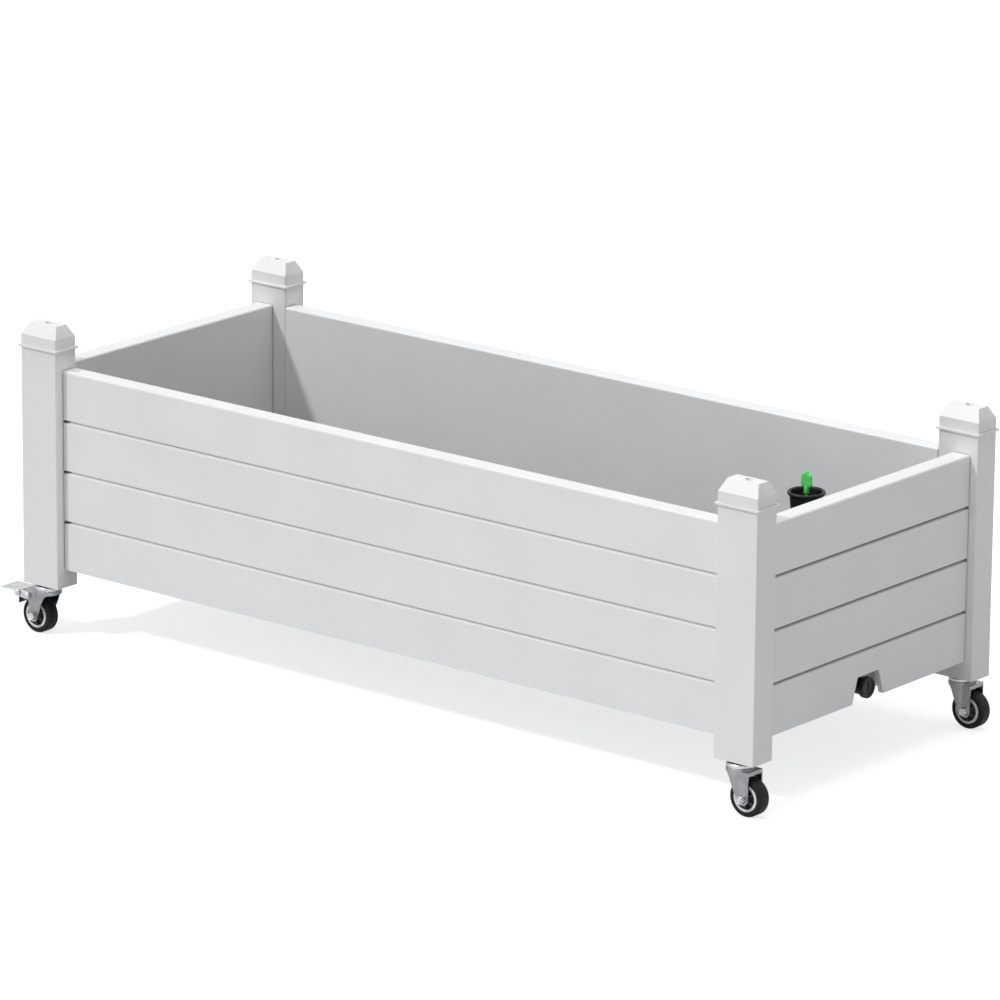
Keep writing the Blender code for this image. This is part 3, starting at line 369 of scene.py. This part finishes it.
def zinc(name, dark, light, edge_highlight):
    """Zinc plate: cloudy brightness, fine rolling streaks and a painted highlight along edges."""
    made = Finish(name, 0.30, 1.0)
    cloud = made.ramp(made.noise(70, 5), [(0.28, dark), (0.72, light)])
    made.set("Base Color", made.mix(made.edges(FINE_EDGE), cloud, edge_highlight))
    made.set("Roughness", made.range(made.noise(220, 4, (1, 1, 0.15)), 0.22, 0.40))
    made.set("Normal", made.bump(made.noise(420, 3, (1, 1, 0.2)), 0.18, 0.0001))
    return made.material


def hub_resin(name, dark, light, edge_highlight):
    made = Finish(name, 0.40)
    base = made.ramp(made.noise(60, 4), [(0.3, dark), (0.7, light)])
    # Lighter along edges: a painted highlight.
    made.set("Base Color", made.mix(made.edges(FINE_EDGE), base, edge_highlight))
    made.set("Roughness", made.range(made.noise(140, 4), 0.34, 0.48))
    made.set("Normal", made.bump(made.noise(1200, 3), 0.2, 0.0001))
    return made.material


def green_resin():
    made = Finish("green_resin", 0.36)
    base = made.ramp(made.noise(110, 3), [(0.3, (0.070, 0.60, 0.11)), (0.7, (0.140, 0.82, 0.19))])
    # Lighter along edges: a painted highlight.
    made.set("Base Color", made.mix(made.edges(FINE_EDGE), base, (0.22, 0.88, 0.32)))
    made.set("Roughness", made.range(made.noise(150, 3), 0.30, 0.46))
    made.set("Normal", made.bump(made.noise(260, 2), 0.5, 0.0004))
    return made.material


def float_foam():
    made = Finish("float_foam", 0.8)
    base = made.ramp(made.noise(300, 3), [(0.3, (0.72, 0.71, 0.66)), (0.7, (0.86, 0.85, 0.81))])
    made.set("Base Color", base)
    made.set("Normal", made.bump(made.noise(700, 2), 0.6, 0.0004))
    return made.material


FINISHES = {
    "resin": white_resin("white_resin", DEEP_SHADE),
    "grey_resin": grey_resin(),
    "black_resin": black_resin(),
    "green_resin": green_resin(),
    "foam": float_foam(),
    "rubber": rubber("black_rubber", 0.005, 0.012, 0.60),
    "tyre": rubber("tyre_tread", 0.006, 0.014, 0.50),
    "hub_resin": hub_resin("hub_resin", (0.74, 0.75, 0.76), (0.82, 0.83, 0.84), (0.88, 0.89, 0.90)),
    # The lighter of two copies of one zinc: painted highlight on the zinc parts that keep it.
    "zinc": zinc("zinc_plate", (0.50, 0.51, 0.53), (0.70, 0.71, 0.73), (0.86, 0.87, 0.89)),
}
# Painted shade for the recessed web of the hub, between boss and ring.
HUB_WEB_SHADE = hub_resin("hub_web_painted_shade", (0.055, 0.056, 0.058), (0.090, 0.092, 0.095), (0.20, 0.20, 0.21))
PANEL_LOW, PANEL_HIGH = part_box("front_panel")
PANEL_ENDS = ((PANEL_LOW[0] + PANEL_HIGH[0]) / 2, (PANEL_HIGH[0] - PANEL_LOW[0]) / 2 - GROOVE_END)
# The long panels: their grooves painted lighter, with painted shade near their ends.
LONG_PANEL = white_resin("plank_resin", GROOVE_PAINTED_LIGHT, PANEL_ENDS)
# The darker of two copies of one zinc: painted shade on the fork pressings.
SHADED_ZINC = zinc("zinc_pressing_shaded", (0.27, 0.275, 0.285), (0.37, 0.375, 0.39), (0.66, 0.67, 0.69))


# ---------------------------------------------------------------- shapes

WELD_REACH = 2e-6
FLAT_TURN = 1.0
EDGE_ANGLE = 30
EDGE_SEGMENTS = 2
REFINED_SMOOTH = 35


def link(name, bm, node, smooth):
    """Makes a mesh object that stands for a CAD node, with its body, slot and finish."""
    mesh = bpy.data.meshes.new(name)
    bm.to_mesh(mesh)
    bm.free()
    made = bpy.data.objects.new(name, mesh)
    bpy.context.scene.collection.objects.link(made)
    mesh.materials.append(FINISHES[SLOT_OF[node]])
    mesh.shade_smooth()
    mesh.set_sharp_from_angle(angle=radians(smooth))
    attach(made, BODY_OF[node])
    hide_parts(node)
    return made


def refine(node, suffix, width, finish=None):
    """A copy of a CAD node with its flat facets joined and its edges rounded."""
    bm = bmesh.new()
    bm.from_mesh(NODES[node].data)
    bmesh.ops.remove_doubles(bm, verts=bm.verts[:], dist=WELD_REACH)
    bmesh.ops.dissolve_limit(bm, angle_limit=radians(FLAT_TURN), verts=bm.verts[:], edges=bm.edges[:])
    made = link(f"{node}_{suffix}", bm, node, REFINED_SMOOTH)
    if finish is not None:
        made.data.materials[0] = finish
    step = made.modifiers.new("edges", "BEVEL")
    step.limit_method = "ANGLE"
    step.angle_limit = radians(EDGE_ANGLE)
    step.width = width
    step.segments = EDGE_SEGMENTS
    weighted = made.modifiers.new("normals", "WEIGHTED_NORMAL")
    weighted.keep_sharp = True


def middle_of(node):
    low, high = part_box(node)
    return (Vector(low) + Vector(high)) / 2


def rings_to_mesh(bm, rings, closed_loop=False):
    """Skins a list of rings of points; a ring of one point closes to a tip."""
    made = [[bm.verts.new(point) for point in ring] for ring in rings]
    pairs = list(zip(made, made[1:])) + ([(made[-1], made[0])] if closed_loop else [])
    for low, high in pairs:
        count = max(len(low), len(high))
        for i in range(count):
            j = (i + 1) % count
            face = [low[i % len(low)], low[j % len(low)], high[j % len(high)], high[i % len(high)]]
            face = list(dict.fromkeys(face))
            if len(face) > 2:
                bm.faces.new(face)


ON_AXIS = 1e-7
AXES = {
    "X": lambda a, b, c: (c, a, b),
    "Y": lambda a, b, c: (a, c, b),
    "Z": lambda a, b, c: (a, b, c),
}


def spin(profile, steps, along, centre):
    """Turns (radius, distance along the axis) points about an axis through the centre."""
    bm = bmesh.new()
    place = AXES[along]
    rings = []
    for radius, level in profile:
        if radius < ON_AXIS:
            rings.append([centre + Vector(place(0, 0, level))])
            continue
        turn = [2 * pi * i / steps for i in range(steps)]
        rings.append([centre + Vector(place(radius * cos(a), radius * sin(a), level)) for a in turn])
    rings_to_mesh(bm, rings, closed_loop=len(rings[0]) > 1)
    bmesh.ops.recalc_face_normals(bm, faces=bm.faces[:])
    return bm


def bead(radius, height, size, start, end, steps=4):
    """Part of a circle of the given size about (radius, height), from one angle to another, in degrees."""
    angles = [radians(start + (end - start) * i / steps) for i in range(steps + 1)]
    return [(radius + size * cos(a), height + size * sin(a)) for a in angles]


def mirrored(half):
    """A profile given on its positive side, made whole."""
    return [(r, -h) for r, h in half] + [(r, h) for r, h in reversed(half)]


def cut(first, second):
    """The first shape with the second cut out of it, as a new bmesh."""
    pair = []
    for bm in (first, second):
        mesh = bpy.data.meshes.new("working_shape")
        bm.to_mesh(mesh)
        bm.free()
        item = bpy.data.objects.new("working_shape", mesh)
        bpy.context.scene.collection.objects.link(item)
        pair.append(item)
    step = pair[0].modifiers.new("step", "BOOLEAN")
    step.operation = "DIFFERENCE"
    step.solver = "EXACT"
    step.object = pair[1]
    result = bmesh.new()
    result.from_object(pair[0], bpy.context.evaluated_depsgraph_get())
    for item in pair:
        mesh = item.data
        bpy.data.objects.remove(item)
        bpy.data.meshes.remove(mesh)
    return result


# ---------------------------------------------------------------- casters

TYRE_INNER = 18.1 * MM
TYRE_SHOULDER = 3.2 * MM
HUB_RING_HALF = 10.0 * MM
HUB_WEB_HALF = 3.0 * MM
HUB_RIBS = 6
HUB_DARK_FROM, HUB_DARK_TO = 6.3 * MM, 14.35 * MM
AXLE_FLATS = 10.0 * MM
AXLE_BORE = 3.3 * MM
AXLE_SHANK = 2.95 * MM
THREAD_LOW, THREAD_HIGH = 2.72 * MM, 2.98 * MM
THREAD_STEP = 0.5 * MM
RING_STEPS = 48
PIN_SHANK = 1.8 * MM
PIN_HEAD = 3.2 * MM
STEM_LOW, STEM_HIGH = 4.45 * MM, 5.0 * MM
STEM_STEP = 0.6 * MM
RACE_TOP, RACE_BOTTOM = -27.5 * MM, -32.8 * MM


def make_tyre(corner):
    node = f"{corner}_tyre"
    low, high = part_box(node)
    radius, half = (high[2] - low[2]) / 2, (high[1] - low[1]) / 2
    side = [(TYRE_INNER, half - 0.9 * MM), (TYRE_INNER + 0.8 * MM, half - 0.2 * MM)]
    side.append((TYRE_INNER + 1.4 * MM, half))
    side += bead(radius - TYRE_SHOULDER, half - TYRE_SHOULDER, TYRE_SHOULDER, 90, 12, 8)
    side += [(radius - 0.05 * MM, 0.30 * half), (radius - 0.10 * MM, 0.35 * MM), (radius, 0.12 * MM)]
    link(f"{node}_tread", spin(mirrored(side), 96, "Y", middle_of(node)), node, 40)


def make_hub(corner):
    """A moulded wheel centre: bright outer ring, deep dished web with ribs, and a boss for the axle; the web
    and ribs take a dark painted shade.
    """
    node = f"{corner}_wheel_hub"
    low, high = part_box(node)
    half = (high[1] - low[1]) / 2
    centre = middle_of(node)
    ring_half, web = HUB_RING_HALF, HUB_WEB_HALF
    side = [(3.3 * MM, half), (5.7 * MM, half), (6.2 * MM, half - 0.5 * MM), (6.5 * MM, web + 0.9 * MM)]
    side += [(7.4 * MM, web), (13.1 * MM, web), (14.0 * MM, web + 0.9 * MM)]
    side += [(14.4 * MM, ring_half - 0.5 * MM), (14.8 * MM, ring_half)]
    side += [(17.4 * MM, ring_half), (17.8 * MM, ring_half - 0.5 * MM)]
    bm = spin(mirrored(side), 72, "Y", centre)
    for i in range(HUB_RIBS):
        angle = radians(30 + 360 / HUB_RIBS * i)
        for face in (-1, 1):
            ends = []
            for radius, tall in ((5.9 * MM, half - 1.6 * MM), (14.5 * MM, ring_half - 2.2 * MM)):
                for across, height in ((-0.75, 2.4 * MM), (0.75, 2.4 * MM), (0.5, tall), (-0.5, tall)):
                    x = radius * cos(angle) - across * MM * sin(angle)
                    z = radius * sin(angle) + across * MM * cos(angle)
                    ends.append(bm.verts.new(centre + Vector((x, face * height, z))))
            near, far = ends[:4], ends[4:]
            bm.faces.new(near)
            bm.faces.new(far)
            for k in range(4):
                bm.faces.new((near[k], near[(k + 1) % 4], far[(k + 1) % 4], far[k]))
    bmesh.ops.recalc_face_normals(bm, faces=bm.faces[:])
    made = link(f"{node}_moulding", bm, node, 35)
    made.data.materials.append(HUB_WEB_SHADE)
    # Faces between boss and ring take the dark painted shade of the recessed web.
    for face in made.data.polygons:
        across = face.center - centre
        radius = (across.x ** 2 + across.z ** 2) ** 0.5
        if HUB_DARK_FROM < radius < HUB_DARK_TO:
            face.material_index = 1


def hex_ring(cap, height, centre):
    """One level of the bolt's or nut's hexagon along Y, trimmed to a circle of radius cap."""
    points = []
    for i in range(RING_STEPS):
        angle = 2 * pi * i / RING_STEPS
        into = (angle + pi / 6) % (pi / 3) - pi / 6
        radius = min(AXLE_FLATS / 2 / cos(pi / 6 - abs(into)), cap)
        points.append(Vector(centre) + Vector((radius * cos(angle), height, radius * sin(angle))))
    return points


def circle_ring(radius, height, centre):
    turn = [2 * pi * i / RING_STEPS for i in range(RING_STEPS)]
    return [Vector(centre) + Vector((radius * cos(a), height, radius * sin(a))) for a in turn]


def make_axle(corner):
    """A hexagon bolt with a chamfered head, a chamfered nut, and the thread that shows beyond it."""
    nut, bolt = f"{corner}_axle_nut", f"{corner}_axle_bolt"
    low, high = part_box(nut)
    centre = middle_of(f"{corner}_tyre")
    side = 1 if middle_of(nut).y > centre.y else -1
    inner = min(abs(low[1] - centre.y), abs(high[1] - centre.y))
    outer = max(abs(low[1] - centre.y), abs(high[1] - centre.y))
    tip = AXLE_FLATS / 2 / cos(pi / 6)
    bm = bmesh.new()
    levels = [(inner, tip * 0.90), (inner + 0.7 * MM, tip + MM)]
    levels += [(outer - 0.9 * MM, tip + MM), (outer, tip * 0.87)]
    rings = [hex_ring(cap, side * height, centre) for height, cap in levels]
    rings.append(circle_ring(3.9 * MM, side * outer, centre))
    rings.append(circle_ring(AXLE_BORE, side * (outer - 0.6 * MM), centre))
    rings.append(circle_ring(AXLE_BORE, side * (inner + 0.2 * MM), centre))
    rings.append(circle_ring(3.7 * MM, side * inner, centre))
    rings_to_mesh(bm, rings, closed_loop=True)
    bmesh.ops.recalc_face_normals(bm, faces=bm.faces[:])
    link(f"{nut}_forging", bm, nut, 28)

    low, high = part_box(bolt)
    end = max(side * (low[1] - centre.y), side * (high[1] - centre.y))
    head = max(-side * (low[1] - centre.y), -side * (high[1] - centre.y))
    bm = bmesh.new()
    rings = [[centre + Vector((0, -side * (head - 0.5 * MM), 0))]]
    rings.append(circle_ring(3.2 * MM, -side * (head - 0.5 * MM), centre))
    rings.append(circle_ring(3.9 * MM, -side * head, centre))
    levels = [(head, tip * 0.86), (head - 0.8 * MM, tip + MM)]
    levels += [(inner + 0.5 * MM, tip + MM), (inner, tip * 0.92)]
    rings += [hex_ring(cap, -side * height, centre) for height, cap in levels]
    rings.append(circle_ring(AXLE_SHANK, -side * inner, centre))
    rings.append(circle_ring(AXLE_SHANK, side * (inner - 1 * MM), centre))
    turns = int((end - inner + 1 * MM) / THREAD_STEP)
    for i in range(turns):
        height = inner - 1 * MM + THREAD_STEP * (i + 0.5)
        if height > end - THREAD_STEP:
            break
        rings.append(circle_ring(THREAD_LOW if i % 2 else THREAD_HIGH, side * height, centre))
    rings.append(circle_ring(2.3 * MM, side * end, centre))
    rings.append([centre + Vector((0, side * end, 0))])
    rings_to_mesh(bm, rings)
    bmesh.ops.recalc_face_normals(bm, faces=bm.faces[:])
    link(f"{bolt}_forging", bm, bolt, 28)


def make_pin(node):
    """A riveted pin: shank, flat-bottomed head and a soft dome on each side."""
    low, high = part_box(node)
    half = (high[1] - low[1]) / 2
    radius = (high[2] - low[2]) / 2
    under = half - PIN_HEAD
    rim = under + 1.2 * MM
    side = [(PIN_SHANK, under), (radius - 0.3 * MM, under), (radius, under + 0.3 * MM), (radius, rim)]
    side += [(radius * cos(radians(a)), rim + 2.0 * MM * sin(radians(a))) for a in (18, 36, 54, 72)]
    side.append((0, half))
    profile = [(r, -h) for r, h in reversed(side)] + side
    link(f"{node}_rivet", spin(profile, 40, "Y", middle_of(node)), node, 40)


def make_stem(corner):
    """The threaded stem over its collar and the pressed race cover, the neck and the riveted head."""
    node = f"{corner}_caster_stem"
    low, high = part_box(node)
    centre = Vector(((low[0] + high[0]) / 2, (low[1] + high[1]) / 2, high[2]))
    profile = [(0, low[2] - high[2]), (6.6 * MM, low[2] - high[2]), (7.5 * MM, low[2] - high[2] + 0.8 * MM)]
    profile += [(7.5 * MM, -35.6 * MM), (4.0 * MM, -35.6 * MM), (4.0 * MM, RACE_BOTTOM)]
    profile += [(17.8 * MM, RACE_BOTTOM), (18.2 * MM, RACE_BOTTOM + 0.2 * MM)]
    profile += [(18.4 * MM, RACE_BOTTOM + 0.6 * MM), (18.4 * MM, RACE_BOTTOM + 2.3 * MM)]
    profile += bead(15.4 * MM, RACE_TOP - 2.9 * MM, 2.9 * MM, 8, 90, 7)
    profile += [(9.4 * MM, RACE_TOP), (9.0 * MM, RACE_TOP + 0.3 * MM), (9.0 * MM, -26.3 * MM)]
    profile += [(4.7 * MM, -26.3 * MM)]
    height = -25.6 * MM
    crest = True
    while height < -1.4 * MM:
        profile.append((STEM_HIGH if crest else STEM_LOW, height))
        crest = not crest
        height += STEM_STEP
    profile += [(4.2 * MM, 0), (0, 0)]
    link(f"{node}_turning", spin(profile, 64, "Z", centre), node, 32)


# ---------------------------------------------------------------- filler, flag and drain

SEAT_GAP = 0.3 * MM
CUP_DEPTH = -62 * MM
TUBE_OUTER, TUBE_INNER = 16.5 * MM, 14.5 * MM
RIM_ROLL = 2.2 * MM
LEAF_STEPS = 144
LEAF_THICKNESS = 1.9 * MM
LEAF_STALK = 4.0 * MM
SOCKET_BORE = 2.15 * MM
SOCKET_FLOOR = 5.9 * MM
SOCKET_STEPS = 32
PLUG_SLOT_HALF, PLUG_SLOT_REACH, PLUG_SLOT_DEPTH = 1.15 * MM, 7.4 * MM, 2.6 * MM
PLUG_SLOT_OVER = 1 * MM
BUSH_BORE = 4.5 * MM


def make_filler():
    node = "filler_cup"
    low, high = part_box(node)
    centre = middle_of(node)
    centre.z = high[2]
    foot = low[2] - high[2]
    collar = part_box("soil_platform")[1][2] - high[2] + SEAT_GAP
    cup = CUP_DEPTH
    profile = [(TUBE_OUTER, foot), (TUBE_OUTER, collar)]
    profile += [(22.1 * MM, collar), (22.5 * MM, collar + 0.4 * MM)]
    profile += [(22.5 * MM, collar + 2.6 * MM), (22.1 * MM, collar + 3 * MM), (16.9 * MM, collar + 3 * MM)]
    profile += [(TUBE_OUTER, collar + 3.5 * MM), (TUBE_OUTER, cup), (17.0 * MM, cup + 1.5 * MM)]
    profile += [(21.7 * MM, -5.4 * MM), (22.3 * MM, -5.0 * MM)]
    profile += bead(22.6 * MM, -2.4 * MM, RIM_ROLL, -80, 20, 5)
    profile += bead(22.6 * MM, -2.2 * MM, RIM_ROLL, 30, 130, 5)
    profile += [(20.5 * MM, -1.4 * MM), (20.3 * MM, -3.0 * MM), (19.8 * MM, -9 * MM), (19.3 * MM, -9.3 * MM)]
    profile += [(15.0 * MM, cup + 1.5 * MM), (TUBE_INNER, cup), (TUBE_INNER, foot)]
    link(f"{node}_moulding", spin(profile, 96, "Z", centre), node, 35)


def leaf_outline():
    """A rounded tree of lobes, as (across, up) from its middle, in shares of half its width and height."""
    lobes = [(0.0, 0.60, 0.40), (-0.46, 0.26, 0.44), (0.46, 0.26, 0.44), (-0.52, -0.28, 0.45)]
    lobes += [(0.52, -0.28, 0.45), (0.0, -0.42, 0.52), (0.0, 0.0, 0.62)]
    count = LEAF_STEPS
    points = []
    for i in range(count):
        angle = 2 * pi * i / count
        dx, dy = cos(angle), sin(angle)
        best = 0
        for x, y, r in lobes:
            along = x * dx + y * dy
            inside = along * along - (x * x + y * y - r * r)
            if inside > 0:
                best = max(best, along + inside ** 0.5)
        points.append(best)
    soft = [sum(points[(i + k) % count] for k in (-2, -1, 0, 1, 2)) / 5 for i in range(count)]
    return [(r * cos(2 * pi * i / count), r * sin(2 * pi * i / count)) for i, r in enumerate(soft)]


def make_flag():
    node = "level_flag"
    low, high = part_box(node)
    centre = middle_of(node)
    half_x = (high[0] - low[0]) / 2
    half_z = (high[2] - low[2] - LEAF_STALK) / 2
    middle = Vector((centre.x, centre.y, high[2] - half_z))
    outline = leaf_outline()
    wide = max(abs(x) for x, _ in outline)
    tall = max(abs(y) for _, y in outline)
    thick = LEAF_THICKNESS
    front = [(0.55, -1.0), (0.86, -0.96), (0.96, -0.72), (1.0, -0.3)]
    rings = []
    for inset, depth in front + [(inset, -depth) for inset, depth in reversed(front)]:
        across, up = half_x * inset / wide, half_z * inset / tall
        rings.append([middle + Vector((x * across, depth * thick, y * up)) for x, y in outline])
    rings = [[middle + Vector((0, -thick, 0))]] + rings + [[middle + Vector((0, thick, 0))]]
    bm = bmesh.new()
    rings_to_mesh(bm, rings)
    foot = Vector((centre.x, centre.y, low[2]))
    stem = [(SOCKET_BORE, 0.0), (3.0 * MM, 0.0), (3.4 * MM, 0.4 * MM), (3.4 * MM, 6.0 * MM)]
    stem += [(2.6 * MM, 9.0 * MM), (0, 9.2 * MM), (0, SOCKET_FLOOR), (SOCKET_BORE, SOCKET_FLOOR)]
    rings = []
    for radius, height in stem:
        point = Vector((0, 0, height))
        if radius < ON_AXIS:
            rings.append([foot + point])
        else:
            turn = [2 * pi * i / SOCKET_STEPS for i in range(SOCKET_STEPS)]
            rings.append([foot + point + Vector((radius * cos(a), radius * sin(a), 0)) for a in turn])
    rings_to_mesh(bm, rings[:6])
    rings_to_mesh(bm, [rings[6], rings[7], rings[0]])
    bmesh.ops.recalc_face_normals(bm, faces=bm.faces[:])
    link(f"{node}_leaf", bm, node, 40)


def make_plug():
    node = "drain_plug"
    low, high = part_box(node)
    centre = middle_of(node)
    centre.x = high[0]
    foot = low[0] - high[0]
    profile = [(0, foot), (3.6 * MM, foot), (4.2 * MM, foot + 0.8 * MM), (4.2 * MM, -7.0 * MM)]
    profile += [(13.4 * MM, -7.0 * MM), (14.0 * MM, -6.4 * MM), (14.0 * MM, -1.0 * MM)]
    profile += bead(13.0 * MM, -1.0 * MM, 1.0 * MM, 10, 90, 4)
    profile += bead(11.2 * MM, -0.6 * MM, 0.6 * MM, 90, 170, 4)
    profile += [(10.4 * MM, -1.5 * MM), (9.8 * MM, -1.6 * MM), (0, -1.35 * MM)]
    head = spin(profile, 96, "X", centre)
    half, reach, depth, over = PLUG_SLOT_HALF, PLUG_SLOT_REACH, PLUG_SLOT_DEPTH, PLUG_SLOT_OVER
    slot = bmesh.new()
    outline = []
    for end, start in ((reach, 0), (-reach, 180)):
        turn = [radians(start + 22.5 * i) for i in range(9)]
        outline += [(half * cos(a), end + half * sin(a)) for a in turn]
    rings = [[centre + Vector((x, y, z)) for y, z in outline] for x in (-depth, over)]
    rings_to_mesh(slot, [[centre + Vector((-depth, 0, 0))]] + rings + [[centre + Vector((over, 0, 0))]])
    bmesh.ops.recalc_face_normals(slot, faces=slot.faces[:])
    link(f"{node}_turning", cut(head, slot), node, 35)


def make_bush():
    node = "drain_bush"
    low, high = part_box(node)
    centre = middle_of(node)
    centre.x = high[0]
    foot = low[0] - high[0]
    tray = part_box("drain_seal")[1][0] - high[0] + SEAT_GAP
    profile = [(7.0 * MM, foot), (7.0 * MM, tray), (12.6 * MM, tray), (13.0 * MM, tray + 0.4 * MM)]
    profile += [(13.0 * MM, tray + 3.5 * MM), (12.5 * MM, tray + 4.0 * MM), (11.3 * MM, tray + 4.0 * MM)]
    profile += [(11.0 * MM, tray + 4.3 * MM), (11.0 * MM, -0.4 * MM), (10.6 * MM, 0), (4.9 * MM, 0)]
    profile += [(BUSH_BORE, -0.4 * MM), (BUSH_BORE, foot)]
    link(f"{node}_moulding", spin(profile, 72, "X", centre), node, 35)


def finish_cad_nodes():
    """Nodes that keep their CAD shape get their finish."""
    for name, node in NODES.items():
        if node.hide_render:
            continue
        node.data.materials.clear()
        node.data.materials.append(FINISHES[SLOT_OF[name]])


POST_EDGE = 0.6 * MM
CAP_EDGE = 0.7 * MM
FORK_EDGE = 0.35 * MM
PEDAL_EDGE = 0.45 * MM
PAD_EDGE = 0.9 * MM
PANEL_EDGE = 0.5 * MM
TRAY_EDGE = 0.4 * MM


def main():
    aim_camera()
    make_floor()
    make_world()
    make_lamps()
    for corner in CORNERS:
        refine(f"{corner}_post", "moulding", POST_EDGE)
        refine(f"{corner}_post_cap", "moulding", CAP_EDGE)
        refine(f"{corner}_caster_fork", "pressing", FORK_EDGE, finish=SHADED_ZINC)
        make_tyre(corner)
        make_hub(corner)
        make_axle(corner)
        make_stem(corner)
        if corner.endswith("left"):
            refine(f"{corner}_brake_pedal", "pressing", PEDAL_EDGE)
            refine(f"{corner}_brake_pad", "moulding", PAD_EDGE)
            make_pin(f"{corner}_brake_pivot_pin")
            make_pin(f"{corner}_brake_pad_rivet")
    for side in ("front_panel", "rear_panel"):
        refine(side, "moulding", PANEL_EDGE, finish=LONG_PANEL)
    for side in ("left_end_panel", "right_end_panel"):
        refine(side, "moulding", PANEL_EDGE)
    for node in ("reservoir_tray", "left_cross_bar", "right_cross_bar"):
        refine(node, "moulding", TRAY_EDGE)
    make_filler()
    make_flag()
    make_plug()
    make_bush()
    finish_cad_nodes()


main()
bpy.context.scene.view_settings.view_transform = "Standard"
